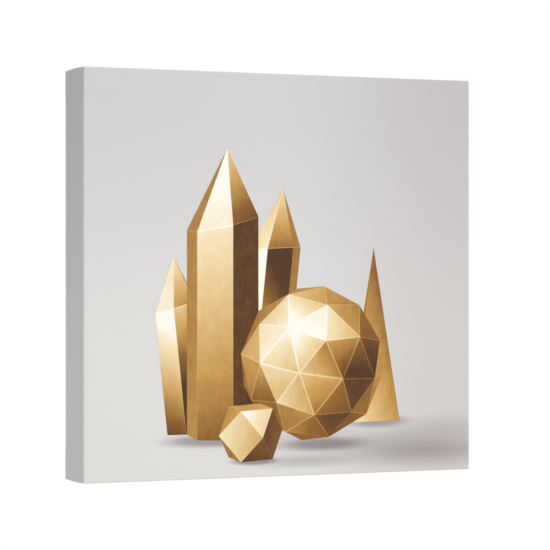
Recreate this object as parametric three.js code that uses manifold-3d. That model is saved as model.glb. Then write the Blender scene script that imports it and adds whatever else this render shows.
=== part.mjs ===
// Gallery-wrapped canvas print: cotton cloth stretched round a keyed pine stretcher frame.
//
// Millimetres. +X is to the right seen from the front, +Y goes towards the wall and +Z is up.
// The origin is the hanging point: the top of the hanger's middle notch, in the wall's plane.
//
// Inside the picture group, x and z start at the centre of the frame, and y is the depth behind
// the front of the bars. A bar is drawn as the top one, and turned by quarter turns for the rest.

import * as THREE from 'three';
import { mergeVertices } from 'three/addons/utils/BufferGeometryUtils.js';
import Module from 'manifold-3d';

const wasm = await Module();
wasm.setup();

// ---------------------------------------------------------------- driving dimensions

const gap = 0.3; // clearance between pieces that touch

const clothWidth = 310; // outside of the wrapped cloth
const clothHeight = 300;
const clothThickness = 0.6;
const foldStep = 0.4; // added by each further layer of cloth
const hemReach = 22; // cloth turned in over the back, from the outside of the wrap

const barDepth = 44;
const barWidth = 32;
const barRound = 1.6; // rounded outer front edge, which the cloth turns over
const rimWidth = 6; // flat rim under the cloth
const rimStep = 2; // the rim stands this far above the start of the bevel
const bevelDepth = 5; // depth of the bevel at the inner edge
const backChamfer = 1.5; // inner back edge
const backEase = 1; // outer back edge
const mitreGap = 0.22; // each mitre is cut back by this along the bar

const keyLength = 34;
const keyTip = 3; // width of a key at its thin end
const keyButt = 9.5; // width of a key at its thick end
const keyProud = 10; // length of a key that stands out of its slot

const stapleCrown = 12;
const stapleWire = 0.7; // thickness of the flat wire
const stapleWidth = 1.25; // width of the flat wire
const stapleLeg = 8;
const stapleInset = 12; // from the outside of the wrap to the row of staples
const foldStaples = [
  { fromEnd: 38, inward: stapleInset, layers: 3 },
  { fromEnd: 15.5, inward: 7, layers: 5 },
];

const hangerLength = 46;
const hangerHeight = 8.5;
const hangerThickness = 0.8;
const hangerRise = 2.2; // the toothed middle stands this far off the tabs
const hangerTab = 10; // flat length at each end
const hangerRamp = 3; // sloping length between tab and middle
const notchPitch = 3;
const notchDepth = 2.2;
const notchSteps = [-2, -1, 0, 1, 2];
const toothFlat = 0.3; // width left at the point of a tooth

const nailHead = 1.8; // radius
const nailHeadThickness = 0.6;
const nailShank = 0.7; // radius
const nailLength = 10;
const nailPoint = 2; // length of the tapered point

const bumperRadius = 4.4;
const bumperEase = 0.8; // chamfer round the flat face
const bumperOffset = 120; // from the middle of the bottom bar

const wallGap = 4; // the bumpers hold the back of the bars this far off the wall

// ---------------------------------------------------------------- sizes worked out from them

const wrapGap = gap + clothThickness; // from a bar to the outside of the cloth
const halfWidth = clothWidth / 2;
const halfHeight = clothHeight / 2;
const clothFront = -wrapGap;
const clothBack = barDepth + wrapGap;
const clothDepth = clothBack - clothFront;
const clothRound = barRound + wrapGap;
const foldRise = 2 * foldStep; // a fold puts two more layers on the one below
const foldRoot = 0.2; // folds are sunk this far into the cloth below them
const wallPlane = barDepth + wallGap;
const past = 1; // cutters run on past the solid by this

// Two layers in each corner: the bars above and below have their tongue in the rear one, and the
// bars at the sides have theirs in the front one. The other layer is the slot for the neighbour.
const rearLayer = { from: 26, to: 32 };
const frontLayer = { from: 19, to: 25 };

// Bare wood between the hem and the chamfer, which carries the hanger and the bumpers.
const bareTop = halfHeight - hemReach;
const bareBottom = halfHeight - wrapGap - barWidth + backChamfer;
const bareMiddle = (bareTop + bareBottom) / 2;
const hangerFoot = bareMiddle - hangerHeight / 2;
const hangingHeight = hangerFoot + notchDepth;

// ---------------------------------------------------------------- solids from three.js geometry

// A three.js geometry as a solid for joining and cutting.
function solidOf(geometry) {
  const bare = geometry.clone();
  bare.deleteAttribute('normal');
  bare.deleteAttribute('uv');
  const merged = mergeVertices(bare);
  const mesh = new wasm.Mesh({
    numProp: 3,
    vertProperties: Float32Array.from(merged.attributes.position.array),
    triVerts: Uint32Array.from(merged.index.array),
  });
  return new wasm.Manifold(mesh);
}

// A solid as a three.js geometry.
function geometryOf(solid) {
  const { vertProperties, triVerts } = solid.getMesh();
  const geometry = new THREE.BufferGeometry();
  geometry.setAttribute('position', new THREE.BufferAttribute(vertProperties, 3));
  geometry.setIndex(new THREE.BufferAttribute(triVerts, 1));
  geometry.computeVertexNormals();
  return geometry;
}

function shapeOf(outline) {
  return new THREE.Shape(outline.map(([first, second]) => new THREE.Vector2(first, second)));
}

function extruded(shape, length) {
  return new THREE.ExtrudeGeometry(shape, { depth: length, bevelEnabled: false, curveSegments: 6 });
}

// An outline of [x, z] points, carried through the depth from one y to another.
function slabGeometry(outline, from, to) {
  return extruded(shapeOf(outline), to - from).rotateX(Math.PI / 2).translate(0, to, 0);
}

function slab(outline, from, to) {
  return solidOf(slabGeometry(outline, from, to));
}

// A shape in [y, z], carried along x over the given length either side of the middle.
function rail(shape, halfLength) {
  const along = new THREE.Matrix4().makeBasis(
    new THREE.Vector3(0, 1, 0),
    new THREE.Vector3(0, 0, 1),
    new THREE.Vector3(1, 0, 0),
  );
  return solidOf(extruded(shape, 2 * halfLength).applyMatrix4(along).translate(-halfLength, 0, 0));
}

// A shape in [x, y], carried up z over the given height either side of the middle.
function postGeometry(shape, halfLength) {
  return extruded(shape, 2 * halfLength).translate(0, 0, -halfLength);
}

// A profile of [radius, y] points, turned about the y axis.
function turnedGeometry(profile, segments) {
  return new THREE.LatheGeometry(profile.map(([radius, y]) => new THREE.Vector2(radius, y)), segments);
}

function rectangle(left, right, bottom, top) {
  return [[left, bottom], [right, bottom], [right, top], [left, top]];
}

function cutAll(solid, cutters) {
  return cutters.reduce((rest, cutter) => rest.subtract(cutter), solid);
}

function joinAll(solid, additions) {
  return additions.reduce((rest, addition) => rest.add(addition), solid);
}

// ---------------------------------------------------------------- the four bars

// along and across are half the bar's length and half the frame's size across it. The first end
// is at the right of the bar as it is drawn, and the second at the left.
const halfAcross = halfHeight - wrapGap;
const halfAlong = halfWidth - wrapGap;
const level = {
  along: halfAlong, across: halfAcross, tongue: rearLayer, slot: frontLayer, folded: true, staplePitch: 42,
};
const upright = {
  along: halfAcross, across: halfAlong, tongue: frontLayer, slot: rearLayer, folded: false, staplePitch: 50,
};
const bars = [
  { ...level, name: 'top', ends: ['right', 'left'], turns: 0, nailSides: [-1, 1] },
  { ...upright, name: 'right', ends: ['bottom', 'top'], turns: 1, nailSides: [] },
  { ...level, name: 'bottom', ends: ['left', 'right'], turns: 2, nailSides: [] },
  { ...upright, name: 'left', ends: ['top', 'bottom'], turns: 3, nailSides: [] },
];

// An outline of [distance from the end, distance inward] points, in [x, z] at one end of a bar.
function atEnd(bar, side, outline) {
  return outline.map(([fromEnd, inward]) => [side * (bar.along - fromEnd), bar.across - inward]);
}

// ---------------------------------------------------------------- staples

function stapleHeight(layers) {
  return clothBack + (layers - 1) * foldStep + gap + stapleWire;
}

// Staples are put in by hand, so each is turned by a few degrees.
function stapleTurn(index) {
  return THREE.MathUtils.degToRad(4 * Math.sin(2.4 * index + 0.7));
}

// Where the staples of one bar go: an even row, and two more at each fold.
function staplePlaces(bar) {
  const outside = bar.across + wrapGap;
  const end = bar.along + wrapGap;
  const steps = [-2, -1, 0, 1, 2];
  const places = steps.map((step) => ({ x: step * bar.staplePitch, z: outside - stapleInset, layers: 1 }));
  for (const side of bar.folded ? [-1, 1] : []) {
    for (const { fromEnd, inward, layers } of foldStaples) {
      places.push({ x: side * (end - fromEnd), z: outside - inward, layers });
    }
  }
  return places.map((place, index) => ({ ...place, turn: stapleTurn(index) }));
}

function putInPlace(geometry, place) {
  return geometry.rotateY(place.turn).translate(place.x, 0, place.z);
}

// Two chisel-pointed legs under a straight crown.
function stapleGeometry(place) {
  const outer = stapleCrown / 2;
  const inner = outer - stapleWire;
  const top = stapleHeight(place.layers);
  const tip = top - stapleLeg;
  const under = top - stapleWire;
  const shoulder = tip + stapleWire;
  const outline = [
    [-outer, top], [-outer, tip], [-inner, shoulder], [-inner, under],
    [inner, under], [inner, shoulder], [outer, tip], [outer, top],
  ];
  return putInPlace(postGeometry(shapeOf(outline), stapleWidth / 2), place);
}

// The holes that the two legs make through the cloth and into the wood.
function stapleHoles(place) {
  const outer = stapleCrown / 2 + gap;
  const inner = stapleCrown / 2 - stapleWire - gap;
  const top = wallPlane + past;
  const bottom = stapleHeight(place.layers) - stapleLeg - gap;
  const legs = [rectangle(inner, outer, bottom, top), rectangle(-outer, -inner, bottom, top)];
  return legs.map((leg) => putInPlace(postGeometry(shapeOf(leg), stapleWidth / 2 + gap), place));
}

// ---------------------------------------------------------------- hanger, nails and bumpers

// A flat strip with two tabs on the wood and a raised middle, seen from above in [x, y].
function hangerProfile() {
  const foot = barDepth + gap;
  const end = hangerLength / 2;
  const bend = end - hangerTab;
  const raised = bend - hangerRamp;
  const woodSide = [
    [-end, foot], [-bend, foot], [-raised, foot + hangerRise],
    [raised, foot + hangerRise], [bend, foot], [end, foot],
  ];
  const wallSide = woodSide.map(([x, y]) => [x, y + hangerThickness]).reverse();
  return shapeOf([...woodSide, ...wallSide]);
}

// A notch in the lower edge of the raised middle; the middle one carries the picture.
function hangerNotch(step) {
  const x = step * notchPitch;
  const slope = (notchPitch - toothFlat) / 2 / notchDepth;
  const half = slope * (notchDepth + past);
  const foot = hangerFoot - past;
  return slab([[x - half, foot], [x + half, foot], [x, hangingHeight]], barDepth, wallPlane);
}

function nailX(side) {
  return (side * (hangerLength - hangerTab)) / 2;
}

const nailTop = barDepth + 2 * gap + hangerThickness + nailHeadThickness;

function nailHole(side) {
  const from = nailTop - nailLength - gap;
  const radius = nailShank + gap;
  const hole = new THREE.CylinderGeometry(radius, radius, wallPlane - from, 12);
  return hole.translate(nailX(side), (wallPlane + from) / 2, bareMiddle);
}

function hangerSolid() {
  const strip = solidOf(postGeometry(hangerProfile(), hangerHeight / 2).translate(0, 0, bareMiddle));
  const holes = [-1, 1].map((side) => solidOf(nailHole(side)));
  return cutAll(strip, [...notchSteps.map(hangerNotch), ...holes]);
}

function nailGeometry(side) {
  const tip = nailTop - nailLength;
  const neck = nailTop - nailHeadThickness;
  const profile = [
    [0, tip], [nailShank, tip + nailPoint], [nailShank, neck],
    [nailHead, neck], [nailHead, nailTop], [0, nailTop],
  ];
  return turnedGeometry(profile, 12).translate(nailX(side), 0, bareMiddle);
}

// A round pad stuck to the bottom bar, with its flat face in the plane of the wall.
function bumperGeometry(side) {
  const foot = barDepth + gap;
  const profile = [
    [0, foot], [bumperRadius, foot], [bumperRadius, wallPlane - bumperEase],
    [bumperRadius - bumperEase, wallPlane], [0, wallPlane],
  ];
  return turnedGeometry(profile, 20).translate(side * bumperOffset, 0, -bareMiddle);
}

// ---------------------------------------------------------------- stretcher bars and keys

// Section of a bar in [y, z]: rounded outer edge, rim, bevel away from the cloth, back chamfers.
function barProfile(bar) {
  const inward = (distance) => bar.across - distance;
  const profile = new THREE.Shape();
  profile.moveTo(barDepth - backEase, inward(0));
  profile.lineTo(barRound, inward(0));
  profile.absarc(barRound, inward(barRound), barRound, Math.PI / 2, Math.PI, false);
  profile.lineTo(0, inward(rimWidth));
  profile.lineTo(rimStep, inward(rimWidth + rimStep));
  profile.lineTo(bevelDepth, inward(barWidth));
  profile.lineTo(barDepth - backChamfer, inward(barWidth));
  profile.lineTo(barDepth, inward(barWidth - backChamfer));
  profile.lineTo(barDepth, inward(backEase));
  profile.closePath();
  return profile;
}

// What lies past the mitre: everything further inward than it is from the end.
function mitreOutline(bar, side) {
  const low = -past;
  const high = barWidth + past;
  return atEnd(bar, side, [[low, low - mitreGap], [high, high - mitreGap], [low, high - mitreGap]]);
}

// The neighbour's tongue goes in here.
function slotOutline(bar, side) {
  const end = barWidth + gap;
  return atEnd(bar, side, [[-past, -past], [end, -past], [end, barWidth + past], [-past, barWidth + past]]);
}

// A key tapers evenly from its butt, which stands out of the slot, to its tip.
function keyWidth(inward) {
  const tip = barWidth + keyProud - keyLength;
  return keyTip + ((keyButt - keyTip) * (inward - tip)) / keyLength;
}

// The wedge of a key between two distances inward, or with a clearance its pocket.
function wedgeOutline(bar, side, from, to, clearance) {
  const straight = barWidth + gap;
  const slanted = (inward) => straight + keyWidth(inward) + clearance;
  return atEnd(bar, side, [
    [straight - clearance, from], [slanted(from), from],
    [slanted(to), to], [straight - clearance, to],
  ]);
}

function endCutters(bar, side) {
  const mitre = mitreOutline(bar, side);
  const pocketEnd = barWidth + keyProud - keyLength - past;
  const pocket = wedgeOutline(bar, side, pocketEnd, barWidth + past, gap);
  const slotFrom = bar.slot.from - gap;
  const slotTo = bar.slot.to + gap;
  return [
    slab(mitre, -past, bar.tongue.from),
    slab(mitre, bar.tongue.to, barDepth + past),
    slab(slotOutline(bar, side), slotFrom, slotTo),
    slab(pocket, slotFrom, slotTo),
  ];
}

function barSolid(bar) {
  const ends = [...endCutters(bar, 1), ...endCutters(bar, -1)];
  const holes = [...staplePlaces(bar).flatMap(stapleHoles), ...bar.nailSides.map(nailHole)];
  return cutAll(rail(barProfile(bar), bar.along), [...ends, ...holes.map(solidOf)]);
}

function keyGeometry(bar, side) {
  const butt = barWidth + keyProud;
  return slabGeometry(wedgeOutline(bar, side, butt - keyLength, butt, 0), bar.slot.from, bar.slot.to);
}

// ---------------------------------------------------------------- cloth

// Section of a wrapped box in [across, y], with its two front edges rounded.
function wrapSection(half, front, back, round) {
  const shape = new THREE.Shape();
  shape.moveTo(half, back);
  shape.lineTo(-half, back);
  shape.lineTo(-half, front + round);
  shape.absarc(-half + round, front + round, round, Math.PI, 1.5 * Math.PI, false);
  shape.lineTo(half - round, front);
  shape.absarc(half - round, front + round, round, 1.5 * Math.PI, 2 * Math.PI, false);
  shape.closePath();
  return shape;
}

// A box with all four front edges rounded: the two sections, each carried across, meet in it.
function wrapBox(inset, front, back, round) {
  const across = halfWidth - inset;
  const up = halfHeight - inset;
  const section = wrapSection(up, front, back, round).extractPoints(6).shape;
  const turned = new THREE.Shape(section.map(({ x, y }) => new THREE.Vector2(y, x)));
  const wide = solidOf(postGeometry(wrapSection(across, front, back, round), up));
  return wide.intersect(rail(turned, across));
}

// Spare cloth at a corner lies folded on the top or bottom side, in a triangle of three layers
// bounded by the 45 degree crease that starts at the front corner.
function sideFold(side, end) {
  const start = clothFront + clothRound;
  const back = clothBack + foldRise;
  const outline = [
    [side * halfWidth, start],
    [side * (halfWidth - clothRound), start],
    [side * (halfWidth - (back - clothFront)), back],
    [side * halfWidth, back],
  ];
  const half = (foldRise + foldRoot) / 2;
  const middle = end * (halfHeight + foldRise - half);
  return solidOf(postGeometry(shapeOf(outline), half).translate(0, 0, middle));
}

// The same crease runs on over the back: three layers, and five inside the corner square.
function backFolds(side, end) {
  const place = ([across, down]) => [side * (halfWidth - across), end * (halfHeight - down)];
  const crease = clothDepth + foldRise;
  const three = [[0, -foldRise], [crease, -foldRise], [crease + hemReach, hemReach], [0, hemReach]];
  const five = [[0, 0], [hemReach, 0], [hemReach, hemReach]];
  const middle = clothBack + foldRise;
  return [
    slab(three.map(place), clothBack - foldRoot, middle),
    slab(five.map(place), middle - foldRoot, middle + foldRise),
  ];
}

function clothHoles(bar) {
  const quarter = (bar.turns * Math.PI) / 2;
  return staplePlaces(bar).flatMap(stapleHoles).map((hole) => solidOf(hole.rotateY(quarter)));
}

// One sheet: the face, four sides and the hem behind, with the folds lying on it.
function canvasSolid() {
  const outside = wrapBox(0, clothFront, clothBack, clothRound);
  const inside = wrapBox(clothThickness, -gap, barDepth + gap, barRound + gap);
  const hemX = halfWidth - hemReach;
  const hemZ = halfHeight - hemReach;
  const mouth = slab(rectangle(-hemX, hemX, -hemZ, hemZ), barDepth - past, wallPlane);
  const corners = [[-1, 1], [1, 1], [-1, -1], [1, -1]];
  const folds = corners.flatMap(([side, end]) => [sideFold(side, end), ...backFolds(side, end)]);
  return cutAll(joinAll(outside, folds), [inside, mouth, ...bars.flatMap(clothHoles)]);
}

// ---------------------------------------------------------------- materials

function finish(color, roughness, metalness) {
  return new THREE.MeshStandardMaterial({ color, roughness, metalness, flatShading: true });
}

const printedCloth = finish(0xd8d5d3, 0.75, 0);
const pine = finish(0xdcc096, 0.6, 0);
const beech = finish(0xc69a68, 0.55, 0);
const wire = finish(0xb9bcc0, 0.35, 1);
const zincSteel = finish(0xc7c4b4, 0.4, 1);
const rubber = finish(0x2b2b2c, 0.8, 0);

// ---------------------------------------------------------------- the picture

function meshOf(name, geometry, material) {
  const mesh = new THREE.Mesh(geometry, material);
  mesh.name = name;
  return mesh;
}

// One bar with its two keys and its staples, turned to its side of the frame.
function barGroup(bar) {
  const group = new THREE.Group();
  group.rotation.y = (bar.turns * Math.PI) / 2;
  group.add(meshOf(`bar_${bar.name}`, geometryOf(barSolid(bar)), pine));
  group.add(meshOf(`key_${bar.name}_bar_${bar.ends[0]}`, keyGeometry(bar, 1), beech));
  group.add(meshOf(`key_${bar.name}_bar_${bar.ends[1]}`, keyGeometry(bar, -1), beech));
  staplePlaces(bar).forEach((place, index) => {
    group.add(meshOf(`staple_${bar.name}_${index + 1}`, stapleGeometry(place), wire));
  });
  return group;
}

function hangerGroup() {
  const group = new THREE.Group();
  group.add(meshOf('hanger', geometryOf(hangerSolid()), zincSteel));
  group.add(meshOf('hanger_nail_left', nailGeometry(-1), wire));
  group.add(meshOf('hanger_nail_right', nailGeometry(1), wire));
  return group;
}

function bumperGroup() {
  const group = new THREE.Group();
  group.add(meshOf('bumper_left', bumperGeometry(-1), rubber));
  group.add(meshOf('bumper_right', bumperGeometry(1), rubber));
  return group;
}

const picture = new THREE.Group();
picture.position.set(0, -wallPlane, -hangingHeight);
picture.add(meshOf('canvas', geometryOf(canvasSolid()), printedCloth));
picture.add(...bars.map(barGroup), hangerGroup(), bumperGroup());

export default picture;
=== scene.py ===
"""Dresses a gallery-wrapped canvas print: folded cloth, pine bars, keys, staples and hanger.

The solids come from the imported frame. The cloth, its loose threads, the nails and the bumpers
are new surfaces worked out here, and the other solids keep their shape and get their finish.
Shapes are worked out in millimetres, from the middle of the face, and put into the row in metres.
"""

import itertools
import logging
import math
from dataclasses import dataclass
from enum import Enum

import bpy
import numpy as np
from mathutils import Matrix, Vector

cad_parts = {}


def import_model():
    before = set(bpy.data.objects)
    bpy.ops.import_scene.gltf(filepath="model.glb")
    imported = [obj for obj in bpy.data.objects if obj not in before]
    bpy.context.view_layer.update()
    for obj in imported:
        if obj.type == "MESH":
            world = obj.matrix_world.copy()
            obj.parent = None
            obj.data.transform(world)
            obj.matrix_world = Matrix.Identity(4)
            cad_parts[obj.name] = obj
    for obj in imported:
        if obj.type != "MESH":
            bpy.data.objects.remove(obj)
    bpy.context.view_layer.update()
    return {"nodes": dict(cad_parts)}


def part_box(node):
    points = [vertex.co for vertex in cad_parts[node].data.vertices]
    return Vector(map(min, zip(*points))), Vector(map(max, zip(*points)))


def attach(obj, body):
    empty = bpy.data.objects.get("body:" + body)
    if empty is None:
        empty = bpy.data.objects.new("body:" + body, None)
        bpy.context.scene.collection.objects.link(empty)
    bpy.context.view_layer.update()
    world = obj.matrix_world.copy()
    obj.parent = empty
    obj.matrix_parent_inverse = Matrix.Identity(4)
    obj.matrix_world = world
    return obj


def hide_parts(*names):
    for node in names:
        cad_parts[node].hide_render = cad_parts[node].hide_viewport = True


LOG = logging.getLogger("canvas_print")
MM = 0.001
PRINT_MAP = "print"
BAKE_MAP = "OFBake"

Array = np.ndarray
Triple = tuple[float, float, float]
Socket = bpy.types.NodeSocket
Feed = Socket | float | tuple
Feeds = dict[int | str, Feed]


# ------------------------------------------------------------------ places taken from the frame


@dataclass(frozen=True)
class Place:
    """Where the frame holds the print, in millimetres.

    x and z are taken from the middle of the face, and depth from the front of the bars.
    """

    half_width: float
    half_height: float
    bar_depth: float
    front_y: float
    middle_z: float

    @classmethod
    def of_frame(cls, fold_rise: float) -> "Place":
        """Reads the place from the boxes of the cloth and the top bar.

        Args:
            fold_rise: How far the corner folds stand proud of the top and bottom sides.

        Returns:
            The place of the print.
        """
        low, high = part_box("canvas")
        bar_low, bar_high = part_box("bar_top")
        return cls(
            half_width=(high.x - low.x) / 2 / MM,
            half_height=(high.z - low.z) / 2 / MM - fold_rise,
            bar_depth=(bar_high.y - bar_low.y) / MM,
            front_y=bar_low.y / MM,
            middle_z=(high.z + low.z) / 2 / MM,
        )

    def to_row(self, points: Array) -> Array:
        """Moves (x, depth, z) points in millimetres into the row frame, in metres."""
        return (points + np.array([0.0, self.front_y, self.middle_z])) * MM


# ------------------------------------------------------------------ meshes


def make_piece(
    name: str,
    points: Array,
    faces: list[list[int]],
    materials: list[bpy.types.Material],
    face_material: Array | None = None,
    maps: dict[str, Array] | None = None,
) -> bpy.types.Object:
    """Makes a smooth mesh object at the origin.

    Args:
        name: The piece's name.
        points: Vertex places in the row frame, in metres, one row each.
        faces: Vertex numbers of each face.
        materials: The piece's materials, in slot order.
        face_material: The material slot of each face, or None for the first.
        maps: UV maps by name, each with a UV for every corner of the faces in turn.

    Returns:
        The new object.
    """
    mesh = bpy.data.meshes.new(name)
    mesh.from_pydata(points.tolist(), [], faces)
    for material in materials:
        mesh.materials.append(material)
    if face_material is not None:
        mesh.polygons.foreach_set("material_index", face_material.astype(np.int32))
    for map_name, corners in (maps or {}).items():
        layer = mesh.uv_layers.new(name=map_name)
        layer.data.foreach_set("uv", corners.astype(np.float32).ravel())
    mesh.polygons.foreach_set("use_smooth", np.ones(len(faces), dtype=bool))
    mesh.update()
    piece = bpy.data.objects.new(name, mesh)
    bpy.context.scene.collection.objects.link(piece)
    return piece


def grid_faces(rows: int, columns: int, wrap: bool = False) -> Array:
    """Quads of a grid whose vertices are numbered row by row.

    Args:
        rows: Number of rows of vertices.
        columns: Number of columns of vertices.
        wrap: Whether the last column joins the first.

    Returns:
        Four vertex numbers for each quad.
    """
    steps = columns if wrap else columns - 1
    row, column = np.meshgrid(np.arange(rows - 1), np.arange(steps), indexing="ij")
    here, beside = row * columns + column, row * columns + (column + 1) % columns
    corners = [here, beside, beside + columns, here + columns]
    return np.stack(corners, axis=-1).reshape(-1, 4)


def angles_round(count: int) -> Array:
    """Even steps once round a circle, in radians."""
    return np.arange(count) * 2.0 * np.pi / count


def smooth_step(value: Array | float, start: float, end: float) -> Array:
    """Rises smoothly from 0 at start to 1 at end: 3t^2 - 2t^3 of the clamped fraction t."""
    part = np.clip((np.asarray(value) - start) / (end - start), 0.0, 1.0)
    return part * part * (3.0 - 2.0 * part)


def register(piece: bpy.types.Object, slot: str, *nodes: str) -> None:
    """Rides a new piece on the body, hides the solids that it stands for, and logs its slot.

    Args:
        piece: The new piece.
        slot: The record's material slot.
        nodes: The solids that it replaces.
    """
    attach(piece, "root")
    if nodes:
        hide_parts(*nodes)
    LOG.info("%s: %d faces, %s", piece.name, len(piece.data.polygons), slot)


# ------------------------------------------------------------------ shader boards


class Board:
    """A node tree with a short call for each kind of node that the finishes use."""

    def __init__(self, tree: bpy.types.NodeTree) -> None:
        """Starts on an existing tree."""
        self.tree = tree

    def feed(self, socket: Socket, value: Feed) -> None:
        """Links a socket to another, or sets its own value.

        Args:
            socket: The input to feed.
            value: Another socket, or a value. A colour may come without alpha.
        """
        if isinstance(value, bpy.types.NodeSocket):
            self.tree.links.new(value, socket)
        elif socket.type == "RGBA" and len(value) == 3:
            socket.default_value = (*value, 1.0)
        else:
            socket.default_value = value

    def node(self, kind: str, feeds: Feeds | None = None, **settings: object) -> bpy.types.Node:
        """Adds a node.

        Args:
            kind: The node's type.
            feeds: What its inputs take, by number or name.
            settings: Its properties.

        Returns:
            The node.
        """
        node = self.tree.nodes.new(kind)
        for name, value in settings.items():
            setattr(node, name, value)
        for key, value in (feeds or {}).items():
            self.feed(node.inputs[key], value)
        return node

    def math(self, operation: str, *values: Feed) -> Socket:
        """A Math node on up to three values."""
        node = self.node("ShaderNodeMath", dict(enumerate(values)), operation=operation)
        return node.outputs[0]

    def scaled(self, value: Feed, factor: Feed, start: Feed) -> Socket:
        """The value times a factor, plus a start."""
        return self.math("MULTIPLY_ADD", value, factor, start)

    def vector(self, operation: str, *values: Feed) -> Socket:
        """A Vector Math node that gives a vector, or a number for a dot product or a length."""
        node = self.node("ShaderNodeVectorMath", dict(enumerate(values)), operation=operation)
        return node.outputs["Value" if operation in {"DOT_PRODUCT", "LENGTH"} else "Vector"]

    def stretched(self, vector: Feed, by: Triple) -> Socket:
        """A vector multiplied axis by axis."""
        return self.vector("MULTIPLY", vector, by)

    def combine(self, x: Feed, y: Feed, z: Feed) -> Socket:
        """A vector of three values."""
        return self.node("ShaderNodeCombineXYZ", {0: x, 1: y, 2: z}).outputs[0]

    def separate(self, vector: Feed) -> tuple[Socket, Socket, Socket]:
        """The three values of a vector."""
        return tuple(self.node("ShaderNodeSeparateXYZ", {0: vector}).outputs)

    def fade(self, value: Feed, start: Feed, end: Feed, low: Feed = 0.0, high: Feed = 1.0) -> Socket:
        """Goes smoothly from low to high as the value goes from start to end."""
        feeds = dict(enumerate((value, start, end, low, high)))
        return self.node("ShaderNodeMapRange", feeds, interpolation_type="SMOOTHSTEP").outputs[0]

    def mix(self, share: Feed, first: Feed, second: Feed) -> Socket:
        """Mixes two numbers."""
        return self.node("ShaderNodeMix", {0: share, 2: first, 3: second}, data_type="FLOAT").outputs[0]

    def tint(self, share: Feed, first: Feed, second: Feed, mode: str = "MIX") -> Socket:
        """Mixes two colours."""
        feeds = {0: share, 6: first, 7: second}
        return self.node("ShaderNodeMix", feeds, data_type="RGBA", blend_type=mode).outputs[2]

    def noise(self, vector: Feed, scale: Feed, detail: float = 2.0, roughness: float = 0.5) -> Socket:
        """The strength of a Noise Texture, centred on one half."""
        feeds = {"Vector": vector, "Scale": scale, "Detail": detail, "Roughness": roughness}
        return self.node("ShaderNodeTexNoise", feeds).outputs["Fac"]

    def wander(self, vector: Feed, scale: float, detail: float = 2.0, roughness: float = 0.5) -> Socket:
        """Noise centred on zero."""
        return self.math("SUBTRACT", self.noise(vector, scale, detail, roughness), 0.5)

    def ramp(self, share: Feed, stops: tuple[tuple[float, Triple], ...]) -> Socket:
        """A Color Ramp.

        Args:
            share: The place along the ramp, from 0 to 1.
            stops: The places and colours that the ramp goes through.

        Returns:
            The colour.
        """
        node = self.node("ShaderNodeValToRGB", {0: share})
        elements = node.color_ramp.elements
        for index, (place, colour) in enumerate(stops):
            element = elements[index] if index < 2 else elements.new(place)
            element.position = place
            element.color = (*colour, 1.0)
        return node.outputs["Color"]

    def group(self, tree: bpy.types.NodeTree, **values: Feed) -> dict[str, Socket]:
        """Places a node group.

        Args:
            tree: The group.
            values: Input values, by socket name with an underscore for each space.

        Returns:
            The outputs by name.
        """
        feeds = {name.replace("_", " "): value for name, value in values.items()}
        node = self.node("ShaderNodeGroup", feeds, node_tree=tree)
        return {socket.name: socket for socket in node.outputs}


class GroupBoard(Board):
    """A new shader node group. Its inputs are in taken, by name."""

    def __init__(self, name: str, inputs: dict[str, str], outputs: dict[str, str]) -> None:
        """Makes the group.

        Args:
            name: The group's name.
            inputs: The kind of each input by name: Float, Vector or Color.
            outputs: The kind of each output by name.
        """
        super().__init__(bpy.data.node_groups.new(name, "ShaderNodeTree"))
        for way, sockets in (("INPUT", inputs), ("OUTPUT", outputs)):
            for socket, kind in sockets.items():
                self.tree.interface.new_socket(socket, in_out=way, socket_type=f"NodeSocket{kind}")
        self.taken = {socket.name: socket for socket in self.node("NodeGroupInput").outputs}

    def give(self, **values: Feed) -> bpy.types.NodeTree:
        """Feeds the outputs by name and gives the finished group."""
        self.node("NodeGroupOutput", values)
        return self.tree


class MaterialBoard(Board):
    """A new material with a Principled shader."""

    def __init__(self, name: str) -> None:
        """Makes the material.

        Args:
            name: The material's name.
        """
        self.material = bpy.data.materials.new(name)
        self.material.use_nodes = True
        super().__init__(self.material.node_tree)

    def give(self, **values: Feed) -> bpy.types.Material:
        """Feeds the shader's inputs and gives the finished material.

        Args:
            values: Input values, by socket name with an underscore for each space.

        Returns:
            The material.
        """
        shader = self.tree.nodes["Principled BSDF"]
        for name, value in values.items():
            self.feed(shader.inputs[name.replace("_", " ")], value)
        return self.material

    def bump(self, height: Socket, strength: float, depth: float) -> Socket:
        """The normal of a surface raised by a height, with the depth in millimetres."""
        feeds = {"Height": height, "Strength": strength, "Distance": depth * MM}
        return self.node("ShaderNodeBump", feeds).outputs["Normal"]

    def own_place(self, turn: Triple = (0.0, 0.0, 0.0), shift: Triple = (0.0, 0.0, 0.0)) -> Socket:
        """Object coordinates in millimetres, turned and shifted by a Mapping node.

        Args:
            turn: Turn in radians.
            shift: Shift in millimetres.

        Returns:
            The coordinates.
        """
        place = self.node("ShaderNodeTexCoord").outputs["Object"]
        feeds = {"Vector": place, "Scale": (1 / MM,) * 3, "Rotation": turn, "Location": shift}
        return self.node("ShaderNodeMapping", feeds, vector_type="POINT").outputs["Vector"]


def linear(red: int, green: int, blue: int) -> Triple:
    """A display colour from 0 to 255 as scene-linear values, by the sRGB curve."""
    parts = (value / 255 for value in (red, green, blue))
    return tuple(p / 12.92 if p <= 0.04045 else ((p + 0.055) / 1.055) ** 2.4 for p in parts)


# ------------------------------------------------------------------ shared effects


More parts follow.
